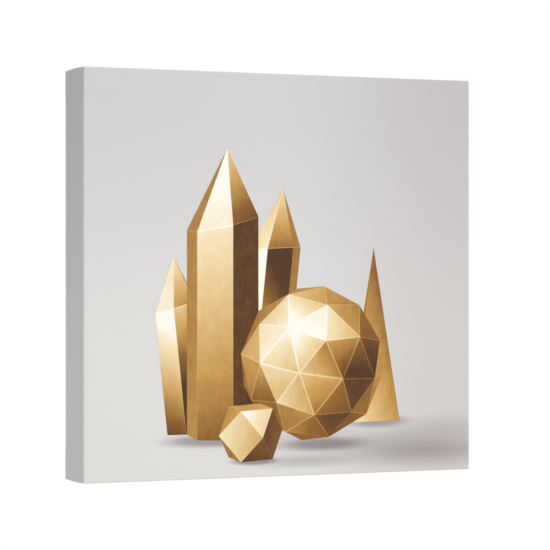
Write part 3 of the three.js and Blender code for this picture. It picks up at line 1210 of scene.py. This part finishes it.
@dataclass
class Cloth:
    """The stretched cloth: one sheet over the face, the sides and the back, with folded corners.

    A point of the sheet is (u, v), in millimetres from its middle. Its reach past the edges of
    the face is s = |u| - half width and t = |v| - half height. Layers are counted outwards.

    Attributes:
        place: Where the frame holds the print.
        staples: Middles of the staples, as (x, z).
        thickness: Thickness of the cloth.
        pitch: Step from one folded layer to the next.
        stand: How far the outside stands off the bars, in front and behind.
        hem_reach: How far a hem reaches in from the edge.
        window: Rounding of the creases at the corners.
        edge_window: Rounding of the creases along the edges.
        tuck: How far a fold's inner crease lies in from the edge.
        tuck_in: How far behind the front it gets there.
        back_tuck: How much further in it lies under the side hem.
        fade: How far behind the front the folded layers have parted.
        ease: Length over which a layer rises on to others.
        pucker: Lift of a hem between two staples.
        ragged: Unevenness of the cut edges, as a share of the hem.
        face_lines: Number of even grid lines across the face.
        samples: Samples each way of the mean that rounds the creases.
    """

    place: Place
    staples: Array
    thickness: float = 0.38
    pitch: float = 0.4
    stand: float = 0.9
    hem_reach: float = 22.0
    window: float = 0.8
    edge_window: float = 0.55
    tuck: float = 0.7
    tuck_in: float = 1.5
    back_tuck: float = 0.75
    fade: float = 20.0
    ease: float = 12.0
    pucker: float = 0.55
    ragged: float = 0.022
    face_lines: int = 31
    samples: int = 7

    def __post_init__(self) -> None:
        """Works out the middle surface's places from the outside ones."""
        half = self.thickness / 2
        self.half_width = self.place.half_width - half
        self.half_height = self.place.half_height - half
        self.front = half - self.stand
        self.back = self.place.bar_depth + self.stand - half
        self.depth = self.back - self.front
        self.reach = self.hem_reach - half

    @property
    def flat(self) -> tuple[float, float]:
        """Width and height of the flat sheet."""
        margin = self.depth + self.reach
        return 2 * (self.half_width + margin), 2 * (self.half_height + margin)

    def past_face(self, u: Array, v: Array) -> tuple[Array, Array]:
        """How far points of the sheet lie past the side and the top or bottom of the face."""
        return np.abs(u) - self.half_width, np.abs(v) - self.half_height

    def hem_layers(self, a: Array, b: Array) -> Array:
        """Layers under the side hem: 4 where a > b, 2 where a < b, and none past the other hem.

        Args:
            a: How far in from the side edge.
            b: How far in from the top or bottom edge.

        Returns:
            The number of layers, eased from one to the next.
        """
        crossing, leaving, left = 2.2, 0.3, 3.5
        layers = 2.0 + 2.0 * smooth_step(a - b, -crossing, 0.0)
        return layers * (1.0 - smooth_step(b, self.reach + leaving, self.reach + left))

    def sharp(self, u: Array, v: Array) -> Array:
        """Folds the flat sheet with sharp creases.

        Each side flap runs back along the depth and turns in as a hem. The square left over at a
        corner folds flat on the top or bottom side, along its diagonal, and goes on under the
        side hem in two more folds. Where layers lie on others they stand out by whole pitches,
        faded to nothing at the front corner and eased along the sheet before and after an edge.

        Args:
            u: Across the sheet.
            v: Up the sheet.

        Returns:
            (x, depth, z) for each point.
        """
        p, w, h = self.pitch, self.half_width, self.half_height
        s, t = self.past_face(u, v)
        a, b = s - self.depth, t - self.depth
        in_s, in_t = smooth_step(s, 0.0, self.fade), smooth_step(t, 0.0, self.fade)
        near_a, near_b = smooth_step(a, -self.ease, 0.0), smooth_step(b, -self.ease, 0.0)
        past_a, past_b, past_t = (1.0 - smooth_step(past, 0.0, self.ease) for past in (a, b, t))
        corner = 2.0 * p * smooth_step(t, -self.ease, 0.0)
        edge = p * self.hem_layers(np.zeros_like(t), -t)
        hem = p * self.hem_layers(a, -t)
        tucked = w - self.tuck * smooth_step(t, 0.0, self.tuck_in) - self.back_tuck * near_b
        full = np.ones_like(s)
        # where each region of the sheet is, then its x, depth and z
        regions = (
            ((s <= 0) & (t <= 0), w + s, self.front * full, h + t),
            ((t <= 0) & (a <= 0), w * full, self.front + s + edge * near_a, h + t + corner * in_s),
            (t <= 0, w - a, self.back + hem, h + t + corner),
            ((s <= 0) & (b <= 0), np.minimum(w + s, tucked), self.front + t, h * full),
            (s <= 0, np.minimum(w + s, tucked), self.back * full, h - b),
            ((t <= s) & (a <= 0), w - t, self.front + s + 2 * p * near_a, h + 2 * p * in_s),
            ((s < t) & (b <= 0), np.minimum(w - s, tucked), self.front + t + p * near_b, h + p * in_t),
            (t <= a, w - a, self.back + 3 * p * full, h + 2 * p * past_t - t),
            (t <= s, w - t, self.back + 2 * p * full, h + 2 * p * past_a - a),
            (s < t, np.minimum(w - s, tucked), self.back + p * full, h + p * past_b - b),
        )
        chosen = [region[0] for region in regions]
        x, depth, z = (np.select(chosen, [region[k] for region in regions]) for k in (1, 2, 3))
        behind = (a > 0) | (b > 0)
        depth = depth + np.where(behind, self.lift(x, z, np.sign(u), np.sign(v)), 0.0)
        return np.stack([x * np.where(u < 0, -1, 1), depth, z * np.where(v < 0, -1, 1)], axis=-1)

    def lift(self, x: Array, z: Array, side: Array | float, end: Array | float) -> Array:
        """How far the hem lifts off the bar between two staples.

        It grows as the power 1.5 of the way in from the edge, and with distance from a staple.

        Args:
            x: Distance from the upright middle line.
            z: Distance from the level middle line.
            side: Sign of the point's x.
            end: Sign of the point's z.

        Returns:
            The lift in millimetres.
        """
        inward = np.minimum(self.half_width - x, self.half_height - z) / self.reach
        apart = np.full(x.shape, FAR)
        for staple_x, staple_z in self.staples:
            apart = np.minimum(apart, np.hypot(x * side - staple_x, z * end - staple_z))
        held, free = 4.0, 20.0
        return self.pucker * np.clip(inward, 0.0, 1.2) ** 1.5 * smooth_step(apart, held, free)

    def middle(self, u: Array, v: Array) -> Array:
        """Rounds the creases: the mean of the sharp fold over a small square round each point.

        The square is smaller along the long edges, away from the corners.

        Args:
            u: Across the sheet.
            v: Up the sheet.

        Returns:
            (x, depth, z) of the middle surface.
        """
        s, t = self.past_face(u, v)
        along = smooth_step(-np.minimum(s, t), 1.0, 9.0)
        size = self.window + (self.edge_window - self.window) * along
        steps = np.linspace(-1.0, 1.0, self.samples)
        total = sum(self.sharp(u + i * size, v + j * size) for i in steps for j in steps)
        return total / self.samples**2

    def lines(self, half: float) -> Array:
        """Grid lines along one axis of the sheet, close together where it bends.

        Args:
            half: Half the face's size along the axis.

        Returns:
            The lines, from one cut edge to the other.
        """
        tight = np.array([0.4, 0.8, 1.2, 1.6, 2.1, 2.7, 3.5, 4.5, 5.5])
        after = np.concatenate([[0.0], tight, np.linspace(tight[-1], self.reach, 14)[1:]])
        before_back = self.depth - np.array([7.0, 5.2, 3.8, 2.8, 2.0, 1.4, 0.9, 0.45])
        between = np.linspace(self.reach, before_back[0], 11)[1:-1]
        outward = np.concatenate([after, between, before_back, self.depth + after])
        before = half - np.array([18.0, 12.0, 8.0, 5.0, 3.5, 2.7, 2.1, 1.6, 1.2, 0.8, 0.4])
        coarse = np.linspace(0.0, before[0], self.face_lines // 2 + 1)
        right = np.concatenate([coarse[:-1], before, half + outward])
        return np.concatenate([-right[:0:-1], right])

    def flat_grid(self) -> tuple[Array, Array]:
        """The sheet's grid, with the slightly uneven line that the shears left at each hem.

        Each cut edge is a slow wave and a faster one along it, and straight at the corners.

        Returns:
            (u, v) of the grid's points.
        """
        u, v = np.meshgrid(self.lines(self.half_width), self.lines(self.half_height))
        s, t = self.past_face(u, v)
        wave_v = np.sin(v * 0.061 + 1.3 * np.sign(u)) + 0.6 * np.sin(v * 0.143 + 2.1)
        wave_u = np.sin(u * 0.053 + 0.7 * np.sign(v)) + 0.6 * np.sin(u * 0.131 + 0.4)
        cut_u = 1.0 + self.ragged * wave_v * smooth_step(-t, 26.0, 44.0)
        cut_v = 1.0 + self.ragged * wave_u * smooth_step(-s, 5.0, 30.0)
        cut_s = np.where(s > self.depth, self.depth + (s - self.depth) * cut_u, s)
        cut_t = np.where(t > self.depth, self.depth + (t - self.depth) * cut_v, t)
        return (
            np.where(u < 0, -1, 1) * (self.half_width + cut_s),
            np.where(v < 0, -1, 1) * (self.half_height + cut_t),
        )

    def normals(self, points: Array) -> Array:
        """Outward normals of a grid of points: the cross product of its two central differences."""
        normals = np.cross(np.gradient(points, axis=1), np.gradient(points, axis=0))
        return normals / np.linalg.norm(normals, axis=-1, keepdims=True)

    def split_faces(self, u: Array, v: Array) -> Array:
        """Triangles of the grid, each square cut along the way that the corner folds run.

        Args:
            u: Across the sheet.
            v: Up the sheet.

        Returns:
            Three vertex numbers for each triangle.
        """
        quads = grid_faces(*u.shape)
        rising = (u.ravel()[quads].mean(axis=1) * v.ravel()[quads].mean(axis=1)) >= 0
        up, down = quads[rising], quads[~rising]
        return np.vstack([up[:, [0, 1, 2]], up[:, [0, 2, 3]], down[:, [0, 1, 3]], down[:, [1, 2, 3]]])

    def rim(self, rows: int, columns: int) -> Array:
        """Triangles that join the two sides along the cut edges.

        Args:
            rows: Number of rows of vertices on each side.
            columns: Number of columns of vertices.

        Returns:
            Three vertex numbers for each triangle.
        """
        numbers = np.arange(rows * columns).reshape(rows, columns)
        sides = [numbers[0, :-1], numbers[:-1, -1], numbers[-1, :0:-1], numbers[:0:-1, 0]]
        loop = np.concatenate(sides)
        ahead = np.roll(loop, -1)
        under = rows * columns
        first = np.stack([ahead, loop, loop + under], axis=1)
        second = np.stack([ahead, loop + under, ahead + under], axis=1)
        return np.vstack([first, second])

    def side_by_side(self, print_map: Array, side_corners: int) -> Array:
        """Lays the outside, the inside and the cut edge beside each other on one map.

        The outside gets most of the width. The cut edge is a ladder whose rungs are the steps
        along it, and each step is two triangles.

        Args:
            print_map: The place on the flat sheet of each corner of the faces.
            side_corners: Number of corners on each side of the cloth.

        Returns:
            A UV for each corner.
        """
        outside, inside = print_map[:side_corners], print_map[side_corners : 2 * side_corners]
        steps = (len(print_map) - 2 * side_corners) // 6
        here = np.arange(steps) / steps
        ahead = here + 1.0 / steps
        near, far = np.zeros(steps), np.ones(steps)
        first = np.stack([near, ahead, near, here, far, here], axis=1)
        second = np.stack([near, ahead, far, here, far, ahead], axis=1)
        ladder = np.vstack([first, second]).reshape(-1, 2)
        columns = ((outside, 0.005, 0.755), (inside, 0.768, 0.212), (ladder, 0.988, 0.007))
        return np.vstack([part * (width, 0.99) + (left, 0.005) for part, left, width in columns])

    def build(self, materials: list[bpy.types.Material]) -> bpy.types.Object:
        """Builds the cloth as a closed thin shell.

        Args:
            materials: The printed outside and the raw inside.

        Returns:
            The cloth.
        """
        u, v = self.flat_grid()
        middle = self.middle(u, v)
        offset = self.normals(middle) * (self.thickness / 2)
        skins = np.stack([middle + offset, middle - offset]).reshape(-1, 3)
        faces, rim = self.split_faces(u, v), self.rim(*u.shape)
        all_faces = np.vstack([faces, faces[:, ::-1] + u.size, rim])
        kinds = np.concatenate([np.zeros(len(faces)), np.ones(len(faces) + len(rim))])
        flat_map = np.stack([u.ravel(), v.ravel()], axis=1) / self.flat + 0.5
        print_map = np.vstack([flat_map, flat_map])[all_faces.ravel()]
        maps = {PRINT_MAP: print_map, BAKE_MAP: self.side_by_side(print_map, 3 * len(faces))}
        points = self.place.to_row(skins)
        return make_piece("stretched_cloth", points, all_faces.tolist(), materials, kinds, maps)


@dataclass
class LooseThreads:
    """Loose threads at the hems' cut edges: short fringe and long strays.

    Attributes:
        cloth: The cloth.
        radius: Radius of a thread.
        sides: Number of sides of a thread.
        points: Number of points along a thread.
        fringe_count: Number of short threads.
        stray_count: Number of long threads.
        level_span: How far from the middle threads start on the top and bottom hems.
        end_gap: How far from the corners they start on the side hems.
        hanger_half: Half the part of the top hem that the hanger keeps clear.
        fringe_length: Shortest and longest fringe.
        stray_length: Shortest and longest stray.
        stray_lean: Least and most lean of a stray to either side, in radians.
        fringe_lean: Spread of a fringe thread's lean.
        stray_bend: Spread of a stray's bend.
        fringe_bend: Spread of a fringe thread's bend.
        wobble: Wobble of the angle along a thread.
        inset: How far under the hem a thread starts.
        seed: Seed of the random numbers.
    """

    cloth: Cloth
    radius: float = 0.11
    sides: int = 5
    points: int = 9
    fringe_count: int = 96
    stray_count: int = 18
    level_span: float = 84.0
    end_gap: float = 4.0
    hanger_half: float = 27.0
    fringe_length: tuple[float, float] = (1.5, 7.0)
    stray_length: tuple[float, float] = (14.0, 34.0)
    stray_lean: tuple[float, float] = (1.3, 1.5)
    fringe_lean: float = 0.45
    stray_bend: float = 0.35
    fringe_bend: float = 0.8
    wobble: float = 0.25
    inset: float = 0.3
    seed: int = 11

    def starts(self, rng: np.random.Generator, count: int) -> tuple[Array, Array]:
        """Places along the cut edges, and the way in from each.

        Args:
            rng: The source of random numbers.
            count: How many threads to place.

        Returns:
            (x, z) of each start, and the unit vector that points in from the edge.
        """
        width = self.cloth.half_width - self.cloth.reach
        height = self.cloth.half_height - self.cloth.reach
        edge = rng.integers(0, 4, count)
        along = rng.uniform(-1.0, 1.0, count)
        clear_span = self.level_span - self.hanger_half
        clear = np.sign(along) * (self.hanger_half + np.abs(along) * clear_span)
        level = np.where(edge == 0, clear, along * self.level_span)
        upright = along * (height - self.end_gap)
        x = np.choose(edge, [level, level, np.full(count, -width), np.full(count, width)])
        z = np.choose(edge, [np.full(count, height), np.full(count, -height), upright, upright])
        inward = np.array([[0.0, -1.0], [0.0, 1.0], [1.0, 0.0], [-1.0, 0.0]])[edge]
        return np.stack([x, z], axis=1), inward

    def curves(self, rng: np.random.Generator, stray: Array) -> tuple[Array, Array, Array]:
        """Length, lean and bend of each thread.

        Args:
            rng: The source of random numbers.
            stray: Which of the threads are strays.

        Returns:
            The lengths in millimetres, and the leans and bends in radians.
        """
        count = len(stray)
        long, short = rng.uniform(*self.stray_length, count), rng.uniform(*self.fringe_length, count)
        stray_lean = rng.choice([-1.0, 1.0], count) * rng.uniform(*self.stray_lean, count)
        fringe_lean = rng.normal(0.0, self.fringe_lean, count)
        stray_bend = rng.normal(0.0, self.stray_bend, count)
        fringe_bend = rng.normal(0.0, self.fringe_bend, count)
        pairs = ((long, short), (stray_lean, fringe_lean), (stray_bend, fringe_bend))
        return tuple(np.where(stray, *pair) for pair in pairs)

    def paths(self) -> Array:
        """Middle lines of all the threads.

        A thread leaves the edge at an angle and bends evenly: its angle grows along its length.
        It starts at the height of the hem and drops onto the bar within a few millimetres.

        Returns:
            (thread, point, coordinate) in millimetres.
        """
        rng = np.random.default_rng(self.seed)
        count = self.fringe_count + self.stray_count
        start, inward = self.starts(rng, count)
        length, lean, bend = self.curves(rng, np.arange(count) >= self.fringe_count)
        part = np.linspace(0.0, 1.0, self.points)
        wobble = self.wobble * np.sin(part * 7.0 + start[:, :1])
        angle = (lean[:, None] + bend[:, None] * part + wobble)[..., None]
        side = np.stack([-inward[:, 1], inward[:, 0]], axis=1)
        ways = np.cos(angle) * inward[:, None] + np.sin(angle) * side[:, None]
        steps = ways[:, :-1] * (length / (self.points - 1))[:, None, None]
        travel = np.concatenate([np.zeros((count, 1, 2)), np.cumsum(steps, axis=1)], axis=1)
        flat = start[:, None] - self.inset * inward[:, None] + travel
        drop = smooth_step(part[None] * length[:, None], 0.2, 3.0)
        x, z = np.abs(start).T
        high = (self.cloth.back + self.cloth.lift(x, z, *np.sign(start).T))[:, None]
        low = self.cloth.place.bar_depth + self.radius
        return np.stack([flat[..., 0], high + (low - high) * drop, flat[..., 1]], axis=-1)

    def build(self, material: bpy.types.Material) -> bpy.types.Object:
        """Sweeps a small circle along each path and closes both ends.

        Args:
            material: The threads' material.

        Returns:
            All the threads as one piece.
        """
        paths = self.paths()
        count, points = paths.shape[:2]
        along = np.gradient(paths, axis=1)
        along /= np.linalg.norm(along, axis=-1, keepdims=True)
        first = np.cross(along, np.array([0.0, 1.0, 0.0]))
        first /= np.linalg.norm(first, axis=-1, keepdims=True)
        second = np.cross(along, first)
        turn = angles_round(self.sides)[:, None]
        ring = np.cos(turn) * first[..., None, :] + np.sin(turn) * second[..., None, :]
        skin = (paths[..., None, :] + self.radius * ring).reshape(-1, 3)
        stride = points * self.sides
        starts = np.arange(count)[:, None, None] * stride
        walls = (grid_faces(points, self.sides, wrap=True)[None] + starts).reshape(-1, 4)
        near = np.arange(self.sides)[::-1][None] + starts[:, 0]
        far = np.arange(self.sides)[None] + stride - self.sides + starts[:, 0]
        faces = [*walls.tolist(), *near.tolist(), *far.tolist()]
        return make_piece("loose_threads", self.cloth.place.to_row(skin), faces, [material])


# ------------------------------------------------------------------ small round parts


@dataclass(frozen=True)
class RoundPart:
    """A small part turned about a line that runs back, standing for one solid of the frame."""

    node: str
    sides: int

    def profile(self, radius: float, start: float, end: float) -> Array:
        """Radius and depth along the part in metres, worked out by each kind of part."""
        raise NotImplementedError

    def build(self, material: bpy.types.Material) -> bpy.types.Object:
        """Turns the profile about the middle line of its solid's box.

        Each row of the profile becomes a ring, and the first and last ring close flat.

        Args:
            material: The part's material.

        Returns:
            The part.
        """
        low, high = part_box(self.node)
        line = self.profile((high.x - low.x) / 2, low.y, high.y)
        turn, radius = angles_round(self.sides), line[:, :1]
        x = (low.x + high.x) / 2 + radius * np.cos(turn)
        y = np.repeat(line[:, 1:], self.sides, axis=1)
        z = (low.z + high.z) / 2 + radius * np.sin(turn)
        points = np.stack([x, y, z], axis=-1).reshape(-1, 3)
        walls = grid_faces(len(line), self.sides, wrap=True)[:, ::-1]
        last = (len(line) - 1) * self.sides
        caps = [list(range(self.sides)), list(range(last, last + self.sides))[::-1]]
        return make_piece(f"{self.node}_turned", points, [*walls.tolist(), *caps], [material])


@dataclass(frozen=True)
class Nail(RoundPart):
    """A hanger nail: a drawn point, a plain shank, and a slightly domed head."""

    sides: int = 28
    head: float = 0.6 * MM
    shank: float = 0.7 * MM
    point: float = 2.0 * MM
    collar: float = 0.25 * MM
    dome: float = 0.22 * MM

    def profile(self, radius: float, start: float, end: float) -> Array:
        """The point widens evenly, and the head's dome falls as the fourth power of its radius.

        Args:
            radius: Radius of the solid's box, in metres.
            start: Where the part starts.
            end: Where it ends.

        Returns:
            Radius and depth of each row.
        """
        under = end - self.head
        rows = [
            (0.03 * MM, start),
            (self.shank, start + self.point),
            (self.shank, under - self.collar),
            (self.shank * 1.25, under),
            (radius * 0.97, under),
            (radius, under + 0.1 * MM),
            (radius, under + 0.3 * MM),
        ]
        shares = (1.0, 0.97, 0.9, 0.75, 0.5, 0.25, 0.06)
        rows += [(radius * share, end - self.dome * share**4) for share in shares]
        return np.array(rows)


@dataclass(frozen=True)
class Bumper(RoundPart):
    """A stick-on bumper: a thin foot and a body that rounds over to a small flat."""

    sides: int = 40
    foot: float = 0.35 * MM

    def profile(self, radius: float, start: float, end: float) -> Array:
        """Above the foot the radius is R (1 - h^3)^(1/3), with h the fraction of the height.

        Args:
            radius: Radius of the solid's box, in metres.
            start: Where the part starts.
            end: Where it ends.

        Returns:
            Radius and depth of each row.
        """
        height = np.linspace(0.0, 0.985, 14)
        body = 0.95 * radius * (1.0 - height**3) ** (1.0 / 3.0)
        rise = start + self.foot + (end - start - self.foot) * height / height[-1]
        foot = np.array(
            [
                (radius * 0.2, start),
                (radius * 0.98, start),
                (radius, start + 0.1 * MM),
                (radius, start + self.foot - 0.05 * MM),
            ]
        )
        return np.vstack([foot, np.column_stack([body, rise]), [(radius * 0.05, end)]])


# ------------------------------------------------------------------ solids that keep their shape


@dataclass(frozen=True)
class EasedSolids:
    """Solids of the frame that keep their shape, with a small bevel on each edge."""

    ease: float
    segments: int = 2
    angle: float = math.radians(28)

    def dress(self, node: bpy.types.Object, material: bpy.types.Material) -> None:
        """Gives a solid its finish and eased edges.

        Args:
            node: The solid's object.
            material: Its new material.
        """
        for slot in node.material_slots:
            slot.material = material
        weld = node.modifiers.new("joined", "WELD")
        weld.merge_threshold = 1e-6
        eased = node.modifiers.new("eased", "BEVEL")
        eased.width = self.ease
        eased.segments = self.segments
        eased.limit_method = "ANGLE"
        eased.angle_limit = self.angle
        eased.use_clamp_overlap = True
        LOG.info("%s: %s", node.name, material.name)


@dataclass
class Strainer:
    """The wooden frame: four bars and eight wedge keys, each cut from its own place in a tree."""

    nodes: dict[str, bpy.types.Object]
    effects: Effects
    bar_ease: float = 0.5 * MM
    key_ease: float = 0.35 * MM

    # the way of the grain, and where in the tree the bar was sawn, in millimetres
    BARS = {
        "bar_top": (Run.LEVEL, (0.0, 30.0, -52.0)),
        "bar_bottom": (Run.LEVEL, (430.0, -6.0, 216.0)),
        "bar_left": (Run.UPRIGHT, (910.0, 58.0, 148.0)),
        "bar_right": (Run.UPRIGHT, (1400.0, 15.0, -96.0)),
    }

    def dress(self) -> None:
        """Dresses the bars in pine and the keys in beech."""
        bars = EasedSolids(self.bar_ease)
        for name, (run, shift) in self.BARS.items():
            bars.dress(self.nodes[name], PINE.material(self.effects, run, shift))
        keys = EasedSolids(self.key_ease)
        for index, name in enumerate(sorted(n for n in self.nodes if n.startswith("key_"))):
            low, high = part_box(name)
            run = Run.UPRIGHT if high.z - low.z > high.x - low.x else Run.LEVEL
            shift = (300.0 * index, 41.0 + 13.0 * index, 27.0 * index)
            keys.dress(self.nodes[name], BEECH.material(self.effects, run, shift))


@dataclass
class Fixings:
    """The staples, and the sawtooth hanger with its nails and the wall bumpers."""

    nodes: dict[str, bpy.types.Object]
    effects: Effects
    wire_ease: float = 0.16 * MM
    plate_ease: float = 0.12 * MM

    def staple_names(self) -> list[str]:
        """Names of all the staples."""
        return sorted(name for name in self.nodes if name.startswith("staple_"))

    def staple_places(self, place: Place) -> Array:
        """Finds the middles of the staples.

        Args:
            place: Where the frame holds the print.

        Returns:
            (x, z) of each, in millimetres from the middle of the face.
        """
        boxes = [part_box(name) for name in self.staple_names()]
        middles = [((low.x + high.x) / 2 / MM, (low.z + high.z) / 2 / MM) for low, high in boxes]
        return np.array(middles) - np.array([0.0, place.middle_z])

    def dress(self) -> None:
        """Dresses the staples and the hanger, and puts finer nails and bumpers in place."""
        wire = WIRE.material(self.effects)
        staples = EasedSolids(self.wire_ease)
        for name in self.staple_names():
            staples.dress(self.nodes[name], wire)
        zinc = ZINC.material(self.effects)
        EasedSolids(self.plate_ease).dress(self.nodes["hanger"], zinc)
        for side in ("left", "right"):
            nail = Nail(f"hanger_nail_{side}")
            register(nail.build(zinc), "zinc_steel", nail.node)
        rubber = RUBBER.material()
        for side in ("left", "right"):
            bumper = Bumper(f"bumper_{side}")
            register(bumper.build(rubber), "bumper_rubber", bumper.node)


# ------------------------------------------------------------------ studio


@dataclass(frozen=True)
class Softbox:
    """A soft square lamp: where it hangs, how big it is and its power in watts."""

    name: str
    place: Triple
    size: float
    power: float


@dataclass(frozen=True)
class Studio:
    """The camera, the soft lamps, the white surround and the pale floor, in metres."""

    target: Triple = (0.0, -0.0489, -0.12125)
    camera_offset: Triple = (-0.59108, -1.45549, 0.0)
    yaw: float = math.radians(21.877)
    lens: float = 137.91
    sensor: float = 36.0
    surround: float = 0.48
    floor_height: float = -1.5
    floor_radius: float = 7.0
    floor_sides: int = 64
    floor_grey: Triple = (0.86, 0.86, 0.86)
    lamps: tuple[Softbox, ...] = (
        Softbox("key", (1.1, -2.1, 0.9), 1.6, 33.0),
        Softbox("overhead", (0.0, -0.1, 2.6), 3.0, 33.0),
        Softbox("back_fill", (0.5, 2.3, 0.7), 1.6, 15.0),
    )

    def build(self) -> None:
        """Sets up everything round the object."""
        self.place_camera()
        for lamp in self.lamps:
            self.hang(lamp)
        self.light_surround()
        self.lay_floor()

    def place_camera(self) -> None:
        """A level long-lens camera to the left of the face."""
        data = bpy.data.cameras.new("camera")
        data.lens = self.lens
        data.sensor_width = self.sensor
        data.clip_end = 60.0
        camera = bpy.data.objects.new("camera", data)
        camera.location = Vector(self.target) + Vector(self.camera_offset)
        camera.rotation_euler = (math.pi / 2, 0.0, -self.yaw)
        bpy.context.scene.collection.objects.link(camera)
        bpy.context.scene.camera = camera

    def hang(self, lamp: Softbox) -> None:
        """Hangs a lamp and turns it to the object.

        Args:
            lamp: The lamp to hang.
        """
        data = bpy.data.lights.new(lamp.name, "AREA")
        data.shape = "SQUARE"
        data.size = lamp.size
        data.energy = lamp.power
        light = bpy.data.objects.new(lamp.name, data)
        light.location = lamp.place
        away = light.location - Vector(self.target)
        light.rotation_euler = away.to_track_quat("Z", "Y").to_euler()
        bpy.context.scene.collection.objects.link(light)

    def light_surround(self) -> None:
        """White where the camera looks past the object, and softer light from all round."""
        world = bpy.data.worlds.new("surround")
        world.use_nodes = True
        board = Board(world.node_tree)
        background = world.node_tree.nodes["Background"]
        seen = board.node("ShaderNodeLightPath").outputs["Is Camera Ray"]
        board.feed(background.inputs["Color"], (1.0, 1.0, 1.0))
        board.feed(background.inputs["Strength"], board.mix(seen, self.surround, 1.0))
        bpy.context.scene.world = world
        bpy.context.scene.view_settings.view_transform = "Standard"

    def lay_floor(self) -> bpy.types.Object:
        """A round pale floor: a grid of rings and spokes at one height.

        Returns:
            The floor.
        """
        rings = np.linspace(0.02, 1.0, 12) * self.floor_radius
        turn = angles_round(self.floor_sides)
        x, y = rings[:, None] * np.cos(turn), rings[:, None] * np.sin(turn)
        points = np.stack([x, y, np.full(x.shape, self.floor_height)], axis=-1).reshape(-1, 3)
        walls = grid_faces(len(rings), self.floor_sides, wrap=True).tolist()
        faces = [*walls, list(range(self.floor_sides))]
        return make_piece("floor", points, faces, [self.floor_material()])

    def floor_material(self) -> bpy.types.Material:
        """Matt pale grey, fading by distance from the middle to a white glow.

        Returns:
            The material.
        """
        board = MaterialBoard("pale_floor")
        place = board.node("ShaderNodeTexCoord").outputs["Object"]
        away = board.vector("LENGTH", board.stretched(place, (1.0, 1.0, 0.0)))
        faded = board.fade(away, start=1.6, end=self.floor_radius * 0.9)
        black, white = (0.0, 0.0, 0.0), (1.0, 1.0, 1.0)
        return board.give(
            Base_Color=board.tint(faded, self.floor_grey, black),
            Roughness=0.9,
            Specular_IOR_Level=0.0,
            Emission_Color=board.tint(faded, black, white),
            Emission_Strength=1.0,
        )


# ------------------------------------------------------------------ whole print


def dress_cloth(place: Place, staples: Array, effects: Effects) -> None:
    """Args:
        place: Where the frame holds the print.
        staples: Middles of the staples.
        effects: The shared groups.
    """
    cloth = Cloth(place, staples)
    past_back = 1.2
    printed = cloth.depth + past_back
    finish = ClothFinish(
        flat=cloth.flat,
        face_half=(cloth.half_width, cloth.half_height),
        printed_half=(cloth.half_width + printed, cloth.half_height + printed),
    )
    sheet = cloth.build([finish.printed(effects, Design().group()), finish.bare_back(effects)])
    register(sheet, "printed_canvas", "canvas")
    threads = LooseThreads(cloth).build(finish.thread())
    register(threads, "printed_canvas")


def main() -> None:
    """Loads the frame, dresses the print and sets up the studio."""
    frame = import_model()
    Studio().build()
    effects = Effects()
    place = Place.of_frame(fold_rise=0.8)
    fixings = Fixings(frame["nodes"], effects)
    dress_cloth(place, fixings.staple_places(place), effects)
    Strainer(frame["nodes"], effects).dress()
    fixings.dress()


if __name__ == "__main__":
    logging.basicConfig(level=logging.INFO)
    main()
